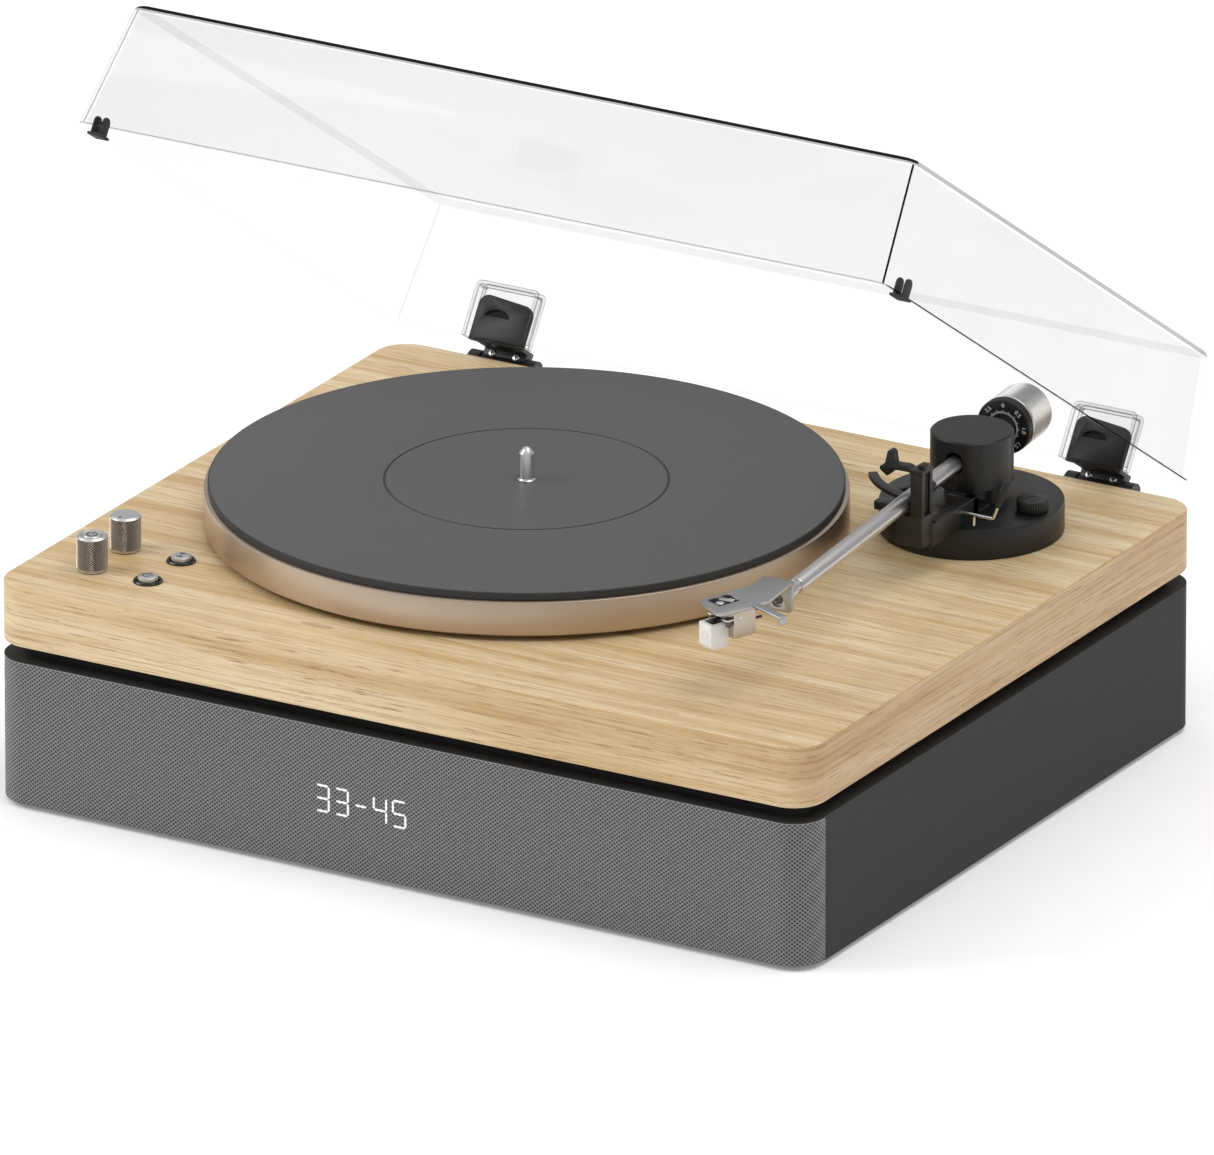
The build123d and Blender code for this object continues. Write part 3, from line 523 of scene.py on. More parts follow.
# The nodes that keep their CAD shape.
NODE_MATERIALS = (
    (PANEL, "cabinet_body grille_frame"),
    (RISER_AND_SHADE_BLACK, "riser_frame"),
    (
        BLACK,
        "bottom_panel rear_panel speaker_basket_left speaker_basket_right display_module aux_socket "
        "power_inlet weight_sleeve hinge_brackets",
    ),
    (RUBBER, "rubber_feet drive_belt"),
    (FIBRE, "front_baffle"),
    (PAPER, "speaker_cone_left speaker_cone_right"),
    (FERRITE, "speaker_magnets"),
    (BOARD, "amplifier_board control_board"),
    (BRASS, "rca_sockets bearing_sleeve motor_pulley arm_yoke pivot_block"),
    (STEEL, "panel_screws motor pivot_pins hinge_pins"),
    (WOOD, "wood_plinth"),
    (SATIN_BLACK, "bearing_housing"),
    (CREAM, "sub_platter"),
)
for material, names in NODE_MATERIALS:
    for node in names.split():
        mesh = frame["nodes"][node].data
        mesh.materials.clear()
        mesh.materials.append(material)


# ---- shapes that several pieces share ----
UPRIGHT = rotation(90, "X")  # a flat outline stands up, facing the front
BACKWARD = UPRIGHT.inverted()
ACROSS = Matrix(((0, 0, 1, 0), (1, 0, 0, 0), (0, 1, 0, 0), (0, 0, 0, 1)))  # it faces along x


def arc_band(inner, outer, start, sweep, low, high, steps=24):
    """A stretch of a flat ring; angles in degrees."""
    near = ring_points(inner, steps, radians(start), radians(sweep))
    far = ring_points(outer, steps, radians(start), radians(sweep))
    return prism(near + far[::-1], low, high)


def tube(points, radius, steps=16):
    """A round bar along points, closed at both ends."""
    bm = bmesh.new()
    points = [Vector(point) for point in points]
    side = None
    loops = []
    for before, point, after in zip([points[0], *points], points, [*points[1:], points[-1]]):
        ahead = (after - before).normalized()
        side = ahead.orthogonal() if side is None else side
        side = (side - ahead * side.dot(ahead)).normalized()
        across = ahead.cross(side)
        loops.append([bm.verts.new(point + side * x + across * y) for x, y in ring_points(radius, steps)])
    bridge(bm, loops)
    bm.faces.new(loops[0])
    bm.faces.new(loops[-1])
    return bm


def knurled(radius, low, high, count, depth):
    """A closed band of small pyramids about the z axis."""
    bm = bmesh.new()
    half = pi * radius / count
    rows = 2 * round((high - low) / half / 2)
    steps = 2 * count
    grid = []
    for row in range(rows + 1):
        height = low + (high - low) * row / rows
        loop = []
        for step, (x, y) in enumerate(ring_points(1, steps)):
            tip = (row + step) % 2 == 0 and 0 < row < rows
            reach = radius if tip else radius - depth
            loop.append(bm.verts.new((reach * x, reach * y, height)))
        grid.append(loop)
    for row, (under, over) in enumerate(zip(grid, grid[1:])):
        for step in range(steps):
            after = (step + 1) % steps
            a, b, c, d = under[step], under[after], over[after], over[step]
            halves = ((a, b, d), (b, c, d)) if (row + step) % 2 == 0 else ((a, b, c), (a, c, d))
            for corners in halves:
                bm.faces.new(corners)
    inner = [
        [bm.verts.new((x, y, height)) for x, y in ring_points(radius - depth - 0.4, steps)]
        for height in (low, high)
    ]
    bridge(bm, [grid[-1], inner[1], inner[0], grid[0]])
    return bm


def paint(bm, index, test):
    """Gives a material index to each face whose centre passes a test."""
    for face in bm.faces:
        if test(face.calc_center_median()):
            face.material_index = index
    return bm


def screw_head(radius, height, slot_width=0.5):
    """A domed head with a dark cross standing just proud of it, painted shade for a cross recess, looking up
    from z = 0.
    """
    dome = lathe(
        [(0, 0), (radius, 0), (radius, height * 0.4), (radius * 0.75, height * 0.85), (0, height)], 28
    )
    arm = radius * 0.6
    # Painted shade: a dark cross on the dome stands for the recess.
    cross_shade = [
        block((-arm, arm), (-slot_width / 2, slot_width / 2), (height * 0.8, height + 0.02)),
        block((-slot_width / 2, slot_width / 2), (-arm, arm), (height * 0.8, height + 0.02)),
    ]
    return joined((dome, 0), *[(cut, 1) for cut in cross_shade])


# ---- speaker cloth and display ----
CLOTH_LOW, CLOTH_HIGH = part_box("grille_cloth")
CLOTH_BOTTOM, CLOTH_TOP = CLOTH_LOW.z / MM, CLOTH_HIGH.z / MM
STRAIGHT = WIDTH - 2 * CORNER_R
ARC = pi / 2 * CORNER_R
SIDE = CLOTH_HIGH.y / MM + DEPTH / 2 - CORNER_R
CLOTH_LENGTH = STRAIGHT + 2 * ARC + 2 * SIDE
COLUMNS = 428
ROWS = 80
STEP = CLOTH_LENGTH / COLUMNS
ROW_HEIGHT = (CLOTH_TOP - CLOTH_BOTTOM) / ROWS
DIMPLE = 0.22
DISPLAY_X, DISPLAY_Z = -19, 37.2


def grille_point(along, proud):
    """A point of the grille's plan, from the middle of its front, so far out from its face."""
    side = copysign(1, along)
    beyond = abs(along) - STRAIGHT / 2
    if beyond <= 0:
        return along, -DEPTH / 2 - proud
    angle = min(beyond, ARC) / CORNER_R
    reach = CORNER_R + proud
    x = STRAIGHT / 2 + reach * sin(angle)
    y = -DEPTH / 2 + CORNER_R - reach * cos(angle)
    return side * x, y + max(0, beyond - ARC)


def mark_weave(bm, where):
    """Stores each point's place on the flat cloth, which the weave's pattern follows."""
    layer = bm.verts.layers.float_vector.new("weave")
    for vertex in bm.verts:
        along, up = where(vertex.co)
        vertex[layer] = Vector((along + CLOTH_LENGTH / 2, (up - CLOTH_BOTTOM) * STEP / ROW_HEIGHT, 0)) * MM
    return bm


def speaker_cloth():
    """The cloth stretched round the grille, dimpled where its threads leave a hole."""
    bm = bmesh.new()
    layer = bm.verts.layers.float_vector.new("weave")
    loops = []
    for row in range(ROWS + 1):
        loop = []
        for column in range(COLUMNS + 1):
            hole = (row + column) % 2 == 1 and 0 < row < ROWS and 0 < column < COLUMNS
            tuck = 0.35 if row in (0, ROWS) else 0
            along = -CLOTH_LENGTH / 2 + column * STEP
            x, y = grille_point(along, -DIMPLE if hole else -tuck)
            vertex = bm.verts.new((x, y, CLOTH_BOTTOM + row * ROW_HEIGHT))
            vertex[layer] = Vector((column * STEP, row * STEP, 0)) * MM
            loop.append(vertex)
        loops.append(loop)
    bridge(bm, loops, closed=False)
    cloth_piece = piece("speaker_cloth", bm, "base", CLOTH, "grille_cloth", sharp=80)
    hem = cloth_hem()


def cloth_hem():
    """The folded thread line along the cloth's top edge."""
    steps = 200
    points = []
    for step in range(steps + 1):
        along = -CLOTH_LENGTH / 2 + 0.4 + (CLOTH_LENGTH - 0.8) * step / steps
        x, y = grille_point(along, -DIMPLE)
        points.append((x, y, CLOTH_TOP - 0.1))
    return piece("cloth_hem", tube(points, 0.3, 8), "base", HEM)


DIGIT_W, DIGIT_H, DIGIT_GAP, BAR = 6.6, 12.6, 10.2, 0.54
SEGMENTS = {
    "a": ((0, 1), (1, 1)),
    "b": ((1, 1), (1, 0.5)),
    "c": ((1, 0.5), (1, 0)),
    "d": ((0, 0), (1, 0)),
    "f": ((0, 0.5), (0, 1)),
    "g": ((0, 0.5), (1, 0.5)),
}
SHOWN = ("abcdg", "abcdg", "g", "bcfg", "acdfg")  # 33-45


def display_digits():
    """Lit seven-segment digits behind the cloth, the two record speeds."""
    bars = []
    left = DISPLAY_X - (len(SHOWN) - 1) * DIGIT_GAP / 2 - DIGIT_W / 2
    for number, lit in enumerate(SHOWN):
        for letter in lit:
            first, last = (
                Vector((left + number * DIGIT_GAP + across * DIGIT_W, DISPLAY_Z + (up - 0.5) * DIGIT_H))
                for across, up in SEGMENTS[letter]
            )
            way = (last - first).normalized()
            wide = Vector((-way.y, way.x)) * BAR
            start, end = first + way * BAR * 1.25, last - way * BAR * 1.25
            tips = [start - way * BAR * 0.8, end + way * BAR * 0.8]
            outline = [tips[0], start - wide, end - wide, tips[1], end + wide, start + wide]
            bars.append(prism([tuple(point) for point in outline], -0.3, 0.04))
    whole = moved(joined(*bars), place(0, -DEPTH / 2) @ UPRIGHT)
    mark_weave(whole, lambda point: (point.x, point.z))
    piece("display_digits", whole, "base", LIGHT)


# ---- knobs and buttons ----
KNOB_X, BUTTON_X = -184, -154
FRONT_ROW, BACK_ROW = -148, -118
KNOB_R, KNOB_BOTTOM = 7.4, 110.6
KNOB_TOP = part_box("tone_knob")[1].z / MM
SWITCH_R = 4.55
BUTTON_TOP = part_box("input_button")[1].z / MM


def knob(name, node, body, y, inside):
    """A knurled knob with a bright chamfer; inside is the middle of its top."""
    low, top, rim, wall = KNOB_BOTTOM, KNOB_TOP, KNOB_R - 0.95, KNOB_R - 0.5
    profile = [(0, low), (wall, low), (wall, low + 0.5), (wall, top - 1.2), (KNOB_R, top - 1.05)]
    profile += [(KNOB_R, top - 0.85), (rim + 0.15, top - 0.08), (rim, top), *inside]
    band = knurled(KNOB_R, low + 0.5, top - 1.15, count=38, depth=0.45)
    whole = joined((lathe(profile, 96), 0), (band, 1))
    piece(name, moved(whole, place(KNOB_X, y)), body, [SATIN, KNURL_WOOD_REFLECTION], node, sharp=20)


def knobs():
    top, bore = KNOB_TOP, SWITCH_R + 0.15
    recess = [(SWITCH_R + 0.75, top), (bore, top - 0.35), (bore, top - 3.5), (0, top - 3.5)]
    knob("volume_knob_knurled", "power_volume_knob", "volume_knob", FRONT_ROW, recess)
    knob("tone_knob_knurled", "tone_knob", "tone_knob", BACK_ROW, [(0, top)])
    pointer = soft_block((-0.45, 0.45), (-6.3, -3.7), (top - 0.2, top + 0.04), 0.1, 2)
    pointer = moved(pointer, place(KNOB_X, BACK_ROW))
    piece("tone_pointer", pointer, "tone_knob", DARK_INK)

    foot, gap = top - 2.6, 72
    disc = lathe([(0, foot), (SWITCH_R, foot), (SWITCH_R, top - 0.25), (SWITCH_R - 0.25, top), (0, top)], 72)
    ring = arc_band(1.9, 2.7, 90 + gap / 2, 360 - gap, top - 0.2, top + 0.03)
    bar = block((-0.4, 0.4), (0.4, 3.1), (top - 0.2, top + 0.03))
    whole = moved(joined((disc, 0), (ring, 1), (bar, 1)), place(KNOB_X, FRONT_ROW))
    piece("power_switch", whole, "power_button", [SATIN, DARK_INK], "power_button")


def input_symbol(low, high):
    """An arrow going into a frame."""
    head = prism([(-1.1, 0), (-0.1, -0.85), (-0.1, 0.85)], low, high)
    return [arc_band(1.9, 2.5, 40, 280, low, high), block((-0.4, 2.8), (-0.28, 0.28), (low, high)), head]


def mode_symbol(low, high):
    """A dot sending out two waves."""
    marks = [prism(ring_points(0.5, 16), low, high)]
    for radius in (1.3, 2.2):
        for start in (45, 225):
            marks.append(arc_band(radius, radius + 0.55, start, 90, low, high, 12))
    return marks


def buttons():
    sleeve = [(5.2, 101), (6.85, 101), (6.9, 110.3), (6.9, DECK + 0.6), (6.5, DECK + 1.15)]
    sleeve += [(6.1, DECK + 1.2), (5.5, DECK + 0.8), (5.2, DECK + 0.2)]
    rings = [moved(lathe(sleeve, 72), place(BUTTON_X, y)) for y in (FRONT_ROW, BACK_ROW)]
    piece("button_rings", joined(*rings), "base", GLOSS_BLACK, "button_bezels")
    top = BUTTON_TOP
    cap = [(0, 100.3), (2, 100.3), (2, 108), (4.75, 108), (4.8, top - 1), (4.65, top - 0.5)]
    cap += [(4.2, top - 0.18), (3.2, top - 0.04), (0, top)]
    caps = (("input_button", FRONT_ROW, input_symbol), ("mode_button", BACK_ROW, mode_symbol))
    for name, y, symbol in caps:
        marks = [(mark, 1) for mark in symbol(top - 0.2, top + 0.02)]
        whole = moved(joined((lathe(cap, 72), 0), *marks), place(BUTTON_X, y))
        piece(name + "_cap", whole, name, [SATIN, DARK_INK], name)


# ---- platter, mat and spindle ----
PLATTER_LOW, PLATTER_TOP = (edge.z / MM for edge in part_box("platter"))
PLATTER_R = (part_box("platter")[1].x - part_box("platter")[0].x) / 2 / MM
PLATTER_ROOF = 123.9
MAT_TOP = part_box("platter_mat")[1].z / MM
MAT_R = (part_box("platter_mat")[1].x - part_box("platter_mat")[0].x) / 2 / MM
GROOVE_R = 66
SPINDLE_R, SPINDLE_FOOT, SPINDLE_TOP = 3.57, 86.3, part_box("spindle")[1].z / MM


def platter():
    middle = place(PLATTER_AT.x / MM, PLATTER_AT.y / MM)
    r, low, top = PLATTER_R, PLATTER_LOW, PLATTER_TOP
    rim = [(r - 9, low), (r - 0.7, low), (r, low + 0.7), (r, top - 0.8), (r - 0.2, top - 0.3)]
    rim += [(r - 0.7, top), (4, top), (4, PLATTER_ROOF), (r - 9, PLATTER_ROOF)]
    disc = moved(lathe(rim, 288), middle)
    piece("platter_turned", disc, "platter_assembly", CHAMPAGNE, "platter")

    r, g, low, top = MAT_R, GROOVE_R, PLATTER_TOP, MAT_TOP
    mat = [(4.2, low), (r - 0.4, low), (r, low + 0.4), (r, top - 0.8), (r - 0.2, top - 0.3), (r - 0.75, top)]
    mat += [(g + 0.6, top), (g + 0.35, top - 0.35), (g - 0.35, top - 0.35), (g - 0.6, top)]
    disc = lathe([*mat, (4.6, top), (4.2, top - 0.4)], 288)
    # Painted shade on the mat's side.
    paint(disc, 1, lambda point: point.xy.length > MAT_R - 0.6)
    # Painted shade in the groove.
    paint(disc, 2, lambda point: abs(point.xy.length - GROOVE_R) < 0.5 and point.z > PLATTER_TOP + 1)
    piece("mat", moved(disc, middle), "platter_assembly", [MAT, MAT_SIDE_SHADE, GROOVE_SHADE], "platter_mat")

    r, seat, top = SPINDLE_R, MAT_TOP - 0.2, SPINDLE_TOP
    pin = [(0, SPINDLE_FOOT), (4, SPINDLE_FOOT), (4, seat), (4.3, seat + 0.3), (r + 0.1, seat + 0.9)]
    pin += [(r, seat + 1.2), (r, top - 3.2), (r - 0.15, top - 2.7), (1.5, top - 0.5)]
    pin += [(0.9, top - 0.1), (0, top)]
    piece("spindle_pin", moved(lathe(pin, 64), middle), "platter_assembly", STEEL, "spindle")


# ---- tonearm base, rest, clip and cueing ----
POST_X, POST_Y, POST_TOP = (150.7, 157), (27.7, 37.8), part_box("arm_rest")[1].z / MM
REST_BOTTOM, CRADLE_TOP, BEAM_TOP = 127.5, 142.4, 136.2
CLIP_AT = Vector(JOINTS["arm_clip_turn"]["pos_m"]) / MM
CLIP_Y = (38.4, 43.6)
CLIP_OPEN = -JOINTS["arm_clip_turn"]["range_deg"][0]
SKATE = Vector(JOINTS["antiskate_turn"]["pos_m"]) / MM
DISC_R = 43.2
LIFT_R, LIFT_TOP = 46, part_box("cue_lift")[1].z / MM
LEVER = Vector(JOINTS["cue_lever_turn"]["pos_m"]) / MM


def arm_base():
    r, top = DISC_R, DISC_TOP
    disc = [(0, 92), (11, 92), (11, DECK), (r - 0.4, DECK), (r, DECK + 0.4), (r, top - 1.1)]
    disc += [(r - 0.3, top - 0.3), (r - 1.1, top), (14.2, top), (13.4, top + 0.4), (13, top + 1.2)]
    disc += [(13, 134.2), (12.6, 134.6), (3.05, 134.6), (3.05, 98), (0, 98)]
    disc = moved(lathe(disc, 160), place(PIVOT.x, PIVOT.y))
    piece("arm_base_disc", disc, "base", SATIN_BLACK, "tonearm_base")

    ribs, steps = 40, 6
    outline = []
    for step, (x, y) in enumerate(ring_points(1, ribs * steps)):
        reach = 7.32 + 0.16 * cos(2 * pi * step / steps)
        outline.append((x * reach, y * reach))
    low, top = DISC_TOP + 0.3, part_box("antiskate_knob")[1].z / MM
    cap = soften(prism(outline, low, top), 0.5, 3, 60)
    marks = []
    for number in range(4):
        turn = rotation(-90 * number) @ place(0, 4.6, top + 0.03)
        marks.append((moved(lettering(str(number), 2.6, 0.16), turn), 1))
    ring = arc_band(2.2, 2.6, 0, 359.9, top - 0.1, top + 0.1, 48)
    stem = lathe([(0, DECK + 5), (2, DECK + 5), (2, low + 0.2), (0, low + 0.2)], 24)
    whole = moved(joined((cap, 0), (ring, 0), (stem, 0), *marks), place(SKATE.x, SKATE.y))
    piece("antiskate_dial", whole, "antiskate_knob", [SATIN_BLACK, GREY_INK], "antiskate_knob")


def rest_and_clip():
    """The post and cradle that hold the parked arm, and the latch that folds over it."""
    (left, right), (near, far), top, floor = POST_X, POST_Y, POST_TOP, DISC_TOP + 0.02
    notch = [(left, near), (right, near), (right, near + 3.2), (right - 1.5, near + 3.2)]
    notch += [(right - 1.5, far - 2.4), (right, far - 2.4), (right, far), (left, far)]
    shapes = [soften(prism(notch, 140, top - 1.9), 0.35)]
    for x, y, z, width in (
        ((left + 2.4, right - 0.1), (near + 2.9, far - 2.1), (top - 4, top), 0.5),
        ((left - 0.1, right + 0.1), (near - 0.1, far + 0.1), (top - 4.5, top - 1.8), 0.5),
        ((142.9, right + 0.1), (near - 0.1, far), (REST_BOTTOM, CRADLE_TOP), 0.45),
        ((126, right), (far - 0.6, CLIP_Y[1] + 0.4), (138, CRADLE_TOP), 0.45),
        ((right - 5.5, right), (far - 0.6, 81), (floor, BEAM_TOP), 0.45),
        ((143, right), (76, 81), (floor, BEAM_TOP), 0.45),
    ):
        shapes.append(soft_block(x, y, z, width))
    ledge = [(131, 63.5), (156.8, 62), (156.8, 92), (150, 97), (131, 94)]
    shapes.append(soften(prism(ledge, floor, DISC_TOP + 3.4), 0.5))
    pin = lathe([(0, 0), (1.2, 0), (1.2, 7), (0.9, 7.4), (0, 7.4)], 24)
    shapes.append(moved(pin, turn_to("y", (CLIP_AT.x, far - 1, CLIP_AT.z))))
    piece("arm_rest_post", joined(*shapes), "base", SATIN_BLACK, "arm_rest")

    outer = rounded([(0, 2.4), (-6, 3.5), (-13.5, 3.9), (-19.5, 0.8)], 6, 6)
    horn = [(-19.5, 0.8), (-22.6, 5.4), (-25.4, 5.6), (-24, -1.6), (-26.4, -5.6), (-20.4, -6.8)]
    under = rounded([(-20.4, -6.8), (-18.2, -1.6), (-11.5, 1.6), (-6, 0.9), (0, -2.4)], 4, 6)
    strap = prism([*outer[:-1], *rounded(horn, 1.4, 4)[:-1], *under], 0, CLIP_Y[1] - CLIP_Y[0])
    hub = lathe([(1.25, 0), (2.4, 0), (2.4, 5.2), (1.25, 5.2)], 32)
    latch = joined(soften(strap, 0.4, 2, 40), soften(hub, 0.25, 2))
    latch = moved(latch, place(CLIP_AT.x, CLIP_Y[1], CLIP_AT.z) @ rotation(CLIP_OPEN, "Y") @ UPRIGHT)
    piece("arm_latch", latch, "arm_clip", SATIN_BLACK, "arm_clip")


def cueing():
    """The bent wire lever with its sleeve, and the curved rest that it raises."""
    y, z = LEVER.y, LEVER.z
    drop, bend, tip = 161.3, 171.4, Vector((179.2, y, 151.6))
    start = Vector((bend, y, z))
    path = rounded([(drop, y, 126.2), (drop, y, z), (bend, y, z), tuple(start.lerp(tip, 0.9))], 1.5, 6)
    wire = joined(tube(path, 0.85), tube([(POST_X[1] - 4.8, y, z), (drop + 1, y, z)], 0.85))
    reach = (tip - start).length
    grip = [(0, reach - 15.2), (1.2, reach - 15), (1.45, reach - 14), (1.6, reach - 8), (1.95, reach - 0.8)]
    grip += [(1.7, reach - 0.2), (1.1, reach), (0, reach)]
    lean = (tip - start).to_track_quat("Z", "Y").to_matrix().to_4x4()
    sleeve = moved(lathe(grip, 32), place(*start) @ lean)
    piece("cue_lever_wire", joined((wire, 0), (sleeve, 1)), "cue_lever", [STEEL, RUBBER], "cue_lever")

    top = LIFT_TOP
    arc = soften(arc_band(LIFT_R - 2.3, LIFT_R + 2.3, -145, 60, top - 2.6, top, 32), 0.7, 3, 40)
    spoke = soft_block((26, 46), (-2, 2), (top - 2.6, top - 0.6), 0.4)
    post = lathe([(0, DECK + 8), (2.2, DECK + 8), (2.2, top - 0.8), (0, top - 0.8)], 32)
    arm = moved(joined(spoke, moved(post, place(36, 0))), rotation(-115))
    piece("cue_rest", moved(joined(arc, arm), place(PIVOT.x, PIVOT.y)), "cue_lift", SATIN_BLACK, "cue_lift")


# ---- arm, headshell and cartridge ----
TUBE_R, TUBE_END, FLANGE_AT, PLATE_TOP, PLATE_T = 4, 188, 207.4, 10.4, 1.6
SHELL_BACK, SHELL_FRONT = -20.8, -8.2


def arm():
    r, end, flange = TUBE_R, TUBE_END, FLANGE_AT
    profile = [(0, 0), (r, 0), (r, end - 0.9), (3.7, end - 0.2), (3.1, end), (3, end + 0.4), (3, end + 5.8)]
    profile += [(4.1, end + 6), (4.4, end + 6.4), (4.4, end + 10.6), (4.1, end + 11), (3, end + 11.2)]
    profile += [(3, flange - 1.6), (2.2, flange - 1.6), (2.2, flange - 7), (0, flange - 7)]
    piece("arm_wand", moved(lathe(profile, 64), turn_to("x")), "tonearm", ARM_METAL, "arm_tube")

    thread = [(0, -64), (3, -64), (3.5, -63.5)]
    for turn in range(24):
        thread += [(3.6, -63 + turn), (3.6, -62.75 + turn), (3.3, -62.5 + turn), (3.3, -62.25 + turn)]
    thread += [(3.6, -38), (3.6, 0), (0, 0)]
    piece("weight_rod", moved(lathe(thread, 40), turn_to("x")), "tonearm", STEEL, "counterweight_shaft")


def headshell():
    """The pressed plate with its window, rear flange and finger lift."""
    low, top, back = PLATE_TOP - PLATE_T, PLATE_TOP, FLANGE_AT - 1.6
    outline = [(back, -7.8), (217.4, -7.8), (243.2, -20.2), (247, -20.6), (256.4, -7.4), (256.2, -4.8)]
    outline += [(237.2, 5.6), (232.2, 7.8), (back, 7.8)]
    middle, turn = Vector((240.6, -11.2)), radians(HEADSHELL_TURN)
    ahead, aside = Vector((cos(turn), sin(turn))), Vector((-sin(turn), cos(turn)))
    signs = ((1, -1), (-1, -1), (-1, 1), (1, 1))
    window, tray = (
        rounded([tuple(middle + a * long * ahead + b * wide * aside) for a, b in signs], 1.6, 4)
        for long, wide in ((6.2, 5), (6.7, 5.5))
    )
    plate = soften(prism(outline, low, top, [window]), 0.32, 2)
    shape = [(-7.6, 9.2), (-7.6, -3.6), (-6, -5.2), (6, -5.2), (7.6, -3.6), (7.6, 9.2)]
    flange = soften(moved(prism(shape, back, FLANGE_AT, [ring_points(3, 32)]), ACROSS), 0.3, 2)
    lift_at = place(238.6, 4) @ rotation(HEADSHELL_TURN)
    bar = soft_block((-2, 2), (-2, 20.6), (low + 0.1, top - 0.1), 0.45)
    tip = soft_block((-2, 2), (18.9, 20.6), (low - 2.4, top - 0.4), 0.45)
    # A near-black sheet in the window: painted shade where the window looks through to the cartridge.
    tray = prism(tray, low + 0.05, low + 0.2)
    screw = moved(screw_head(2, 0.7), place(242, -12.4, low + 0.2))
    strip = moved(block((-5, -1.6), (-3.6, 3.6), (low + 0.2, low + 0.7)), place(*middle))
    metal_parts = joined(plate, flange, moved(joined(bar, tip), lift_at))
    whole = joined((metal_parts, 0), (tray, 1), (screw, 2), (soften(strip, 0.15, 2), 2))
    piece("headshell_plate", whole, "tonearm", [HEADSHELL_METAL, RISER_AND_SHADE_BLACK, SATIN], "headshell", sharp=30)


def cartridge():
    """The cartridge's shell and pins, the tabs and screws that hold it, and the stylus block."""
    back, front = SHELL_BACK, SHELL_FRONT
    shell = soft_block((back, front), (-7.6, 8.6), (-4.8, PLATE_TOP - PLATE_T - 0.05), 0.35)
    seam = soft_block((back - 0.1, front + 0.1), (-7.7, 8.7), (7.4, 7.9), 0.1, 2)
    tabs = []
    for y, side in ((-7.2, 1), (8.2, -1)):
        inner = y + side * 4.4
        tab = [(front - 0.5, y), (-5.6, y), (-4.3, y + side * 1.2), (-4.3, inner - side), (-5.6, inner)]
        tabs.append((soften(prism([*tab, (front - 0.5, inner)], 4.1, 5.1), 0.25), 1))
    stud = moved(lathe([(0, 0), (0.75, 0), (0.6, 0.3), (0, 0.36)], 20), place(-11.6, 8.6, 5) @ BACKWARD)
    whole, looks = joined((shell, 0), (seam, 0), *tabs, (stud, 1)), [CARTRIDGE_METAL, SATIN]
    piece("cartridge_shell", whole, "tonearm", looks, "cartridge_body", sharp=30, own_frame=CARTRIDGE)

    top, foot, tip = 2.9, -9.4, 2.1
    shape = [(front - 0.3, foot), (tip - 1.3, foot), (tip, foot + 1.6), (tip, top), (front - 0.3, top)]
    nose = soften(moved(prism(shape, -4.6, 4.6), UPRIGHT), 0.5)
    recess = soft_block((front, 0.2), (-3.3, 3.3), (top - 0.6, top + 0.05), 0.2, 2)
    emboss = moved(arc_band(1.6, 2.1, 0, 359.9, -0.1, 0.16, 32), place(tip, 0, -2.4) @ ACROSS)
    cantilever = tube([(-6, 0, -8.6), (-1.5, 0, -9.9)], 0.28, 10)
    diamond = moved(lathe([(0, -10.3), (0.4, -9.6), (0, -9.5)], 12), place(-1.5, 0))
    whole = joined((nose, 0), (recess, 2), (emboss, 0), (cantilever, 1), (diamond, 1))
    looks = [WHITE, DARK_INK, DARK_STEEL]
    piece("stylus_block", whole, "tonearm", looks, "stylus_unit", own_frame=CARTRIDGE)

    pin = [(0, -27.4), (0.5, -27.4), (0.65, -27), (0.65, -21.6), (0.9, -21.4), (0.9, -20.6), (0, -20.6)]
    places = ((-4.5, 5), (4.5, 5), (-4.5, 0.8), (4.5, 0.8))
    pins = joined(*[moved(lathe(pin, 20), turn_to("x", (0, y, z))) for y, z in places])
    piece("cartridge_terminals", pins, "tonearm", DARK_INK, "cartridge_pins", own_frame=CARTRIDGE)
    screws = []
    for y in (-6, 7):
        shank = lathe([(0, 1.6), (1.3, 1.6), (1.5, 1.9), (1.5, 3.8), (1.2, 4.2), (0, 4.2)], 24)
        head = moved(screw_head(1.6, 0.8, 0.4), place(0, 0, 5.05))
        screws.append(moved(joined((shank, 0), head), place(-6.3, y)))
    looks = [DARK_STEEL, DARK_INK]
    piece("mounting_screws", joined(*screws), "tonearm", looks, "cartridge_screws", own_frame=CARTRIDGE)


# ---- counterweight ----
DIAL_FRONT, DIAL_BACK, WEIGHT_FRONT, WEIGHT_BACK = -33.5, -38.5, -38.8, -60.5
WEIGHT_R, SLEEVE_R, DIAL_BORE = 13.6, 6.05, 5.05


def dial_spot(radius, angle):
    """A matrix that sets a flat mark on the dial's face, its top pointing outward."""
    up = Vector((0, sin(angle), cos(angle)))
    right = Vector((0, cos(angle), -sin(angle)))
    turn = Matrix((right, up, right.cross(up))).transposed().to_4x4()
    return Matrix.Translation(up * radius + Vector((DIAL_FRONT, 0, 0))) @ turn


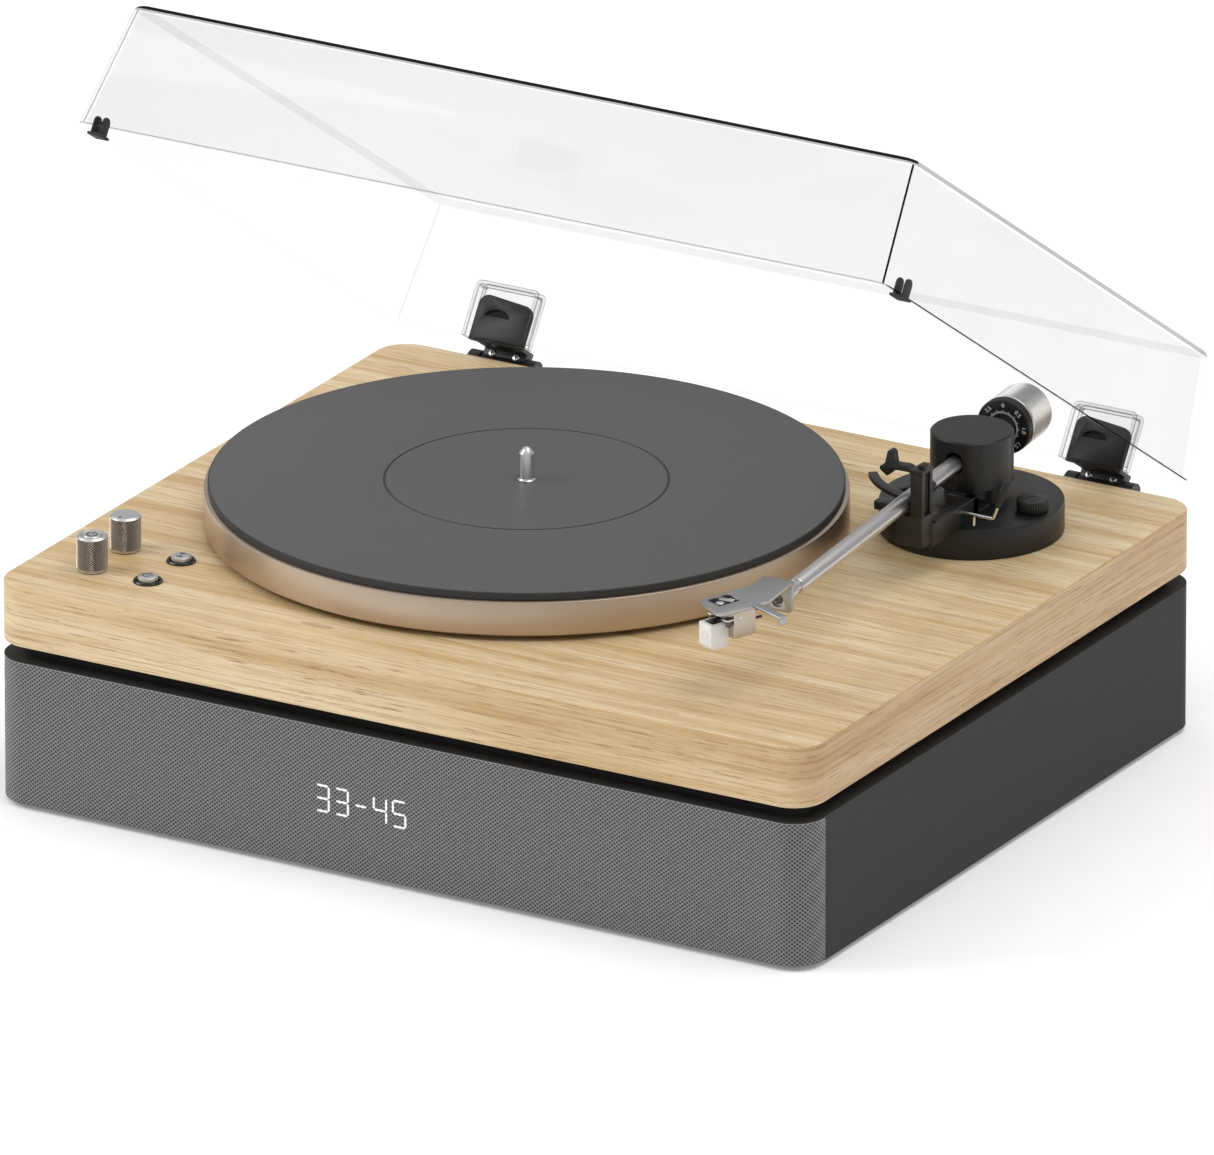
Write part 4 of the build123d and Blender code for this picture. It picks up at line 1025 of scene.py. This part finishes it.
def counterweight():
    r, back, front = WEIGHT_R, WEIGHT_BACK, WEIGHT_FRONT
    weight = [(SLEEVE_R, back), (9, back), (9.3, back + 0.6), (10.3, back + 0.6), (10.6, back), (12.2, back)]
    weight += [(r - 0.6, back + 1.4), (r - 0.6, front - 1), (r, front - 0.9), (r, front - 0.5)]
    body = lathe([*weight, (r - 0.5, front), (SLEEVE_R, front)], 128)
    band = knurled(r, back + 1.4, front - 0.9, count=60, depth=0.55)
    whole = moved(joined((body, 0), (band, 1)), turn_to("x"))
    looks = [SATIN, BRIGHT_KNURL]
    piece("counterweight_knurled", whole, "counterweight", looks, "counterweight", sharp=20)

    back, front = DIAL_BACK, DIAL_FRONT
    dial = [(DIAL_BORE, back), (r - 0.4, back), (r, back + 0.4), (r, front - 1), (r - 0.2, front - 0.4)]
    dial += [(r - 0.8, front), (6.4, front), (6, front - 0.5), (DIAL_BORE, front - 0.5)]
    numerals, ticks, marks = 8, 80, []
    for number in range(numerals):
        text = lettering("0" if number == 0 else f"{number / 2:.1f}", 2.9, 0.08)
        marks.append((moved(text, dial_spot(10.7, radians(360 / numerals * number))), 1))
    for tick in range(ticks):
        stroke = block((-0.1, 0.1), (6.9, 7.9 if tick % 5 else 8.6), (-0.04, 0.04))
        marks.append((moved(stroke, dial_spot(0, radians(360 / ticks * tick))), 1))
    body = moved(lathe(dial, 128), turn_to("x"))
    piece("force_dial_face", joined((body, 0), *marks), "force_dial", [SATIN_BLACK, INK], "force_dial")


# ---- dust cover and hinges ----
COVER_W, COVER_FRONT, COVER_BACK, COVER_BOTTOM, COVER_H, COVER_T = 429.3, -175.3, 174, 111.9, 61.6, 3
DRAFT_SIDE, DRAFT_FRONT, DRAFT_BACK = 6.7, 8.7, 3.4
CORNER_STEPS = 9
HINGE_XS = (-161, 161)
POCKET_W, POCKET_H, POCKET_BACK, POCKET_WALL = 17.2, 28, 7, 2.2


def cover_loop(bm, z, grow, radius=6):
    """The cover's rounded outline at a height, counted from the back right corner."""
    share = (z - COVER_BOTTOM) / COVER_H
    half = COVER_W / 2 - DRAFT_SIDE * share + grow - radius
    front = COVER_FRONT + DRAFT_FRONT * share - grow + radius
    back = COVER_BACK - DRAFT_BACK * share + grow - radius
    loop = []
    for x, y, start in ((half, back, 0), (-half, back, 90), (-half, front, 180), (half, front, 270)):
        for dx, dy in ring_points(radius, CORNER_STEPS, radians(start), pi / 2):
            loop.append(bm.verts.new((x + dx, y + dy, z)))
    return loop


def cover_shell():
    """The clear shell, with dark and grey lines painted on its rounded edges as the shade that the bent
    acrylic shows.
    """
    bm = bmesh.new()
    low, top, edge = COVER_BOTTOM, COVER_BOTTOM + COVER_H, 3
    levels = []
    for step in range(4, -1, -1):
        angle = pi / 2 * step / 4
        levels.append((top - COVER_T - 1 + sin(angle), -COVER_T - 1 + cos(angle), 3))
    levels += [(low + 0.3, -COVER_T, 3), (low, 0.3 - COVER_T, 3.3), (low, -0.5, 5.5), (low + 0.5, 0)]
    outer = len(levels) - 1
    for step in range(6):
        angle = pi / 2 * step / 5
        levels.append((top - edge * (1 - sin(angle)), -edge * (1 - cos(angle))))
    loops = [cover_loop(bm, *level) for level in levels]
    for band, (under, over) in enumerate(zip(loops, loops[1:])):
        for i in range(len(under)):
            j = (i + 1) % len(under)
            face = bm.faces.new((under[i], under[j], over[j], over[i]))
            face.material_index = edge_look(band - outer, i)
    bm.faces.new(loops[0])
    bm.faces.new(loops[-1])
    return bm


def edge_look(band, i):
    """A shell face's look, by its band from the outer lower edge and its place round the outline:
    0 clear, 1 painted grey shade, 2 painted black shade, 3 painted faint shade."""
    corner, step = divmod(i, CORNER_STEPS + 1)
    front = corner == 2 and step >= 3 or corner == 3 and step < CORNER_STEPS - 2
    right = corner == 3 and step >= CORNER_STEPS - 2
    if 1 <= band <= 5:
        return 2 if front and band > 1 else 1 if front or right and band < 4 else 3
    if band == -1:
        return 2 if right else 1 if front else 3
    if band == 0 and step == 4:
        return 2 if corner == 3 else 3
    return 1 if band == 0 and corner == 2 and step in (2, 3, 7) else 0


def arch(half, top, radius):
    """An upright arch from the cover's lower edge, with two rounded upper corners."""
    corner = ring_points(radius, 6, 0, pi / 2)
    right = [(half, COVER_BOTTOM), *[(half - radius + x, top - radius + z) for x, z in corner]]
    return [(-x, z) for x, z in right] + right[::-1]


def pocket(x):
    """The open-bottomed pocket on the cover's back that takes a hinge tongue."""
    top, back, inner = COVER_BOTTOM + POCKET_H, COVER_BACK, POCKET_W - POCKET_WALL
    walls = arch(inner, top - POCKET_WALL, 1.2) + arch(POCKET_W, top, 3.2)[::-1]
    walls = moved(prism(walls, -back - POCKET_BACK, 1.5 - back), place(x, 0) @ UPRIGHT)
    span = (x - inner - 0.3, x + inner + 0.3)
    cheek = soft_block(span, (back + 5.3, back + 6.9), (COVER_BOTTOM + 2.3, top - 1.9), 0.3, 2)
    whole = joined(soften(walls, 0.5, 2), cheek)
    # Narrow faces get the painted grey shade, and the flat end faces the painted faint shade.
    for face in whole.faces:
        narrow = min(edge.calc_length() for edge in face.edges) < 0.6
        end = len(face.verts) > 4 and abs(face.normal.y) > 0.9
        face.material_index = 3 if end else 1 if narrow else 0
    return whole


def cover():
    clear = joined(cover_shell(), *[pocket(x) for x in HINGE_XS])
    looks = [CLEAR, EDGE_GREY_SHADE, EDGE_BLACK_SHADE, EDGE_FAINT_SHADE]
    piece("cover_clear", clear, "cover", looks, "dust_cover", sharp=50)

    pads = []
    at, half = -153.5, 3.2
    lug = rounded([(at + half, 110.6), (at + half, 120.2), (at - half, 120.2), (at - half, 110.6)], 3.1, 8)
    for side in (-1, 1):
        x = side * (COVER_W / 2 - COVER_T / 2 - 0.3)
        for low, high in ((-2.9, -1.6), (1.6, 2.9)):
            pads.append(soften(moved(prism(lug, x + low, x + high), ACROSS), 0.35, 2, 50))
        pads.append(soft_block((x - 3.6, x + 3.6), (-158.4, -148.6), (110.4, 111.8), 0.5))
    piece("cover_pads", joined(*pads), "cover", RUBBER, "cover_bumpers")


def hinges():
    """The tongues in the cover's pockets, with their crescent recesses, and the screws."""
    tongues, screws = [], []
    y, z, back, low = HINGE.y, HINGE.z, COVER_BACK, COVER_BOTTOM - 0.6
    for x in HINGE_XS:
        at = place(x, 0) @ UPRIGHT
        sides = rounded([(-14.6, low), (-14.6, 134.6), (14.6, 131.6), (14.6, low)], 5, 8)
        moon = [(px - 3, pz * 0.55 + 124) for px, pz in ring_points(6.4, 16, 0, pi)]
        blade = moved(prism(sides, -back - 4.8, -back - 1.6, [moon]), at)
        # The crescent's floor is darker than the tongue: painted shade in the recess.
        wide_moon = [((px + 3) * 1.15 - 3, (pz - 124) * 1.15 + 123.8) for px, pz in moon]
        backing = moved(prism(wide_moon, -back - 4.4, -back - 3), at)
        shelf = soft_block((x - 11.5, x + 11.5), (back + 1.6, y + 4), (low, low + 2.2), 0.4)
        web = soft_block((x - 11.4, x + 11.4), (y - 3, y + 3.9), (z, low + 2.1), 0.4)
        barrel = [(2.05, -11.5), (4.1, -11.5), (4.4, -11.2), (4.4, 11.2), (4.1, 11.5), (2.05, 11.5)]
        barrel = moved(lathe(barrel, 48), turn_to("x", (x, y, z)))
        tongues += [(soften(blade, 0.4, 2, 40), 0), (backing, 1), (shelf, 0), (web, 0), (barrel, 0)]
        for side in (-6.5, 6.5):
            screws.append(moved(screw_head(1.9, 0.9), place(x + side, y - 3, z + 4.4) @ UPRIGHT))
    piece("hinge_blades", joined(*tongues), "cover", [BLACK, RISER_AND_SHADE_BLACK], "hinge_tongues")
    piece("hinge_screws", joined(*screws), "cover", [STEEL, DARK_INK])


# ---- connector panel ----
def back_panel_trim():
    """Coloured insulators round the phono sockets, socket collars, and dark crosses on the screw heads,
    painted shade for their cross recesses.
    """
    low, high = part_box("rear_panel")
    face, middle = high.y / MM, (low.z + high.z) / 2 / MM
    rings, collars, recess_shades = [], [], []
    for index, x in enumerate((-44, -26)):
        ring = lathe([(4.2, 0), (6.4, 0), (6.4, 0.8), (6, 1.2), (4.6, 1.2), (4.2, 0.9)], 48)
        rings.append((moved(ring, place(x, face, middle) @ BACKWARD), index))
    piece("phono_insulators", joined(*rings), "base", [WHITE, RED])
    for x, r in ((4, 4.1), (46, 5.6)):
        collar = lathe([(r, 0), (r + 2, 0), (r + 2, 0.5), (r + 1.6, 0.9), (r, 0.9)], 48)
        collars.append(moved(collar, place(x, face, middle) @ BACKWARD))
    piece("socket_collars", joined(*collars), "base", GLOSS_BLACK)
    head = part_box("panel_screws")[1].y / MM
    # Painted shade: thin dark crosses standing just proud of the screw heads.
    for x, z in ((-64, 23), (-64, 49), (64, 23), (64, 49)):
        for wide, tall in ((1.6, 0.3), (0.3, 1.6)):
            recess_shades.append(block((x - wide, x + wide), (head - 0.3, head + 0.03), (z - tall, z + tall)))
    piece("screw_recess_shade", joined(*recess_shades), "base", DARK_INK)


speaker_cloth()
display_digits()
knobs()
buttons()
platter()
arm_base()
rest_and_clip()
cueing()
arm()
headshell()
cartridge()
counterweight()
cover()
hinges()
back_panel_trim()


# ---- stage, lights and camera ----
def stage():
    bm = bmesh.new()
    bmesh.ops.create_grid(bm, x_segments=8, y_segments=8, size=25)
    mesh = bpy.data.meshes.new("floor")
    bm.to_mesh(mesh)
    bm.free()
    paper = Tree("floor_paint")
    white = paper.ramp(paper.noise(paper.place, 40, 2), (0.3, (0.93,) * 3), (0.7, (0.95,) * 3))
    glow = {"Emission_Color": (1, 1, 1, 1), "Emission_Strength": 0.18}
    mesh.materials.append(paper.finish(white, 0.9, Specular_IOR_Level=0.1, **glow))
    placed("floor", mesh)


def area_light(name, at, target, size, power):
    light = bpy.data.lights.new(name, "AREA")
    light.shape = "RECTANGLE"
    light.size, light.size_y = size
    light.energy = power
    lamp = placed(name, light)
    lamp.location = at
    aim = Vector(target) - Vector(at)
    lamp.rotation_euler = aim.to_track_quat("-Z", "Y").to_euler()


def lights():
    """A white sky that is brighter overhead, and two soft lights."""
    world = bpy.data.worlds.new("studio")
    bpy.context.scene.world = world
    world.use_nodes = True
    nodes, links = world.node_tree.nodes, world.node_tree.links
    sky = nodes["Background"]
    sky.inputs["Color"].default_value = (1, 1, 1, 1)
    split = nodes.new("ShaderNodeSeparateXYZ")
    links.new(nodes.new("ShaderNodeTexCoord").outputs["Generated"], split.inputs[0])
    rise = nodes.new("ShaderNodeMapRange")
    links.new(split.outputs[2], rise.inputs[0])
    rise.inputs[3].default_value, rise.inputs[4].default_value = 0.39, 0.77
    links.new(rise.outputs[0], sky.inputs["Strength"])
    area_light("key", (-2.2, -1.35, 1.8), (0, 0, 0.1), (1.5, 1.5), 34)
    area_light("top", (0.9, 0.2, 2.3), (0.15, -0.05, 0.1), (2, 1.6), 20)


def camera():
    azimuth, elevation = radians(30.05), radians(21.02)
    lens = bpy.data.cameras.new("camera")
    lens.lens = 888
    lens.sensor_width = 36
    lens.clip_end = 100
    eye = placed("camera", lens)
    eye.location = (6.4912, -11.21142, 5.07047)
    level = cos(elevation)
    ahead = Vector((-sin(azimuth) * level, cos(azimuth) * level, -sin(elevation)))
    eye.rotation_euler = ahead.to_track_quat("-Z", "Y").to_euler()
    scene = bpy.context.scene
    scene.camera = eye
    scene.view_settings.view_transform = "Standard"
    scene.cycles.transparent_max_bounces = 32


stage()
lights()
camera()
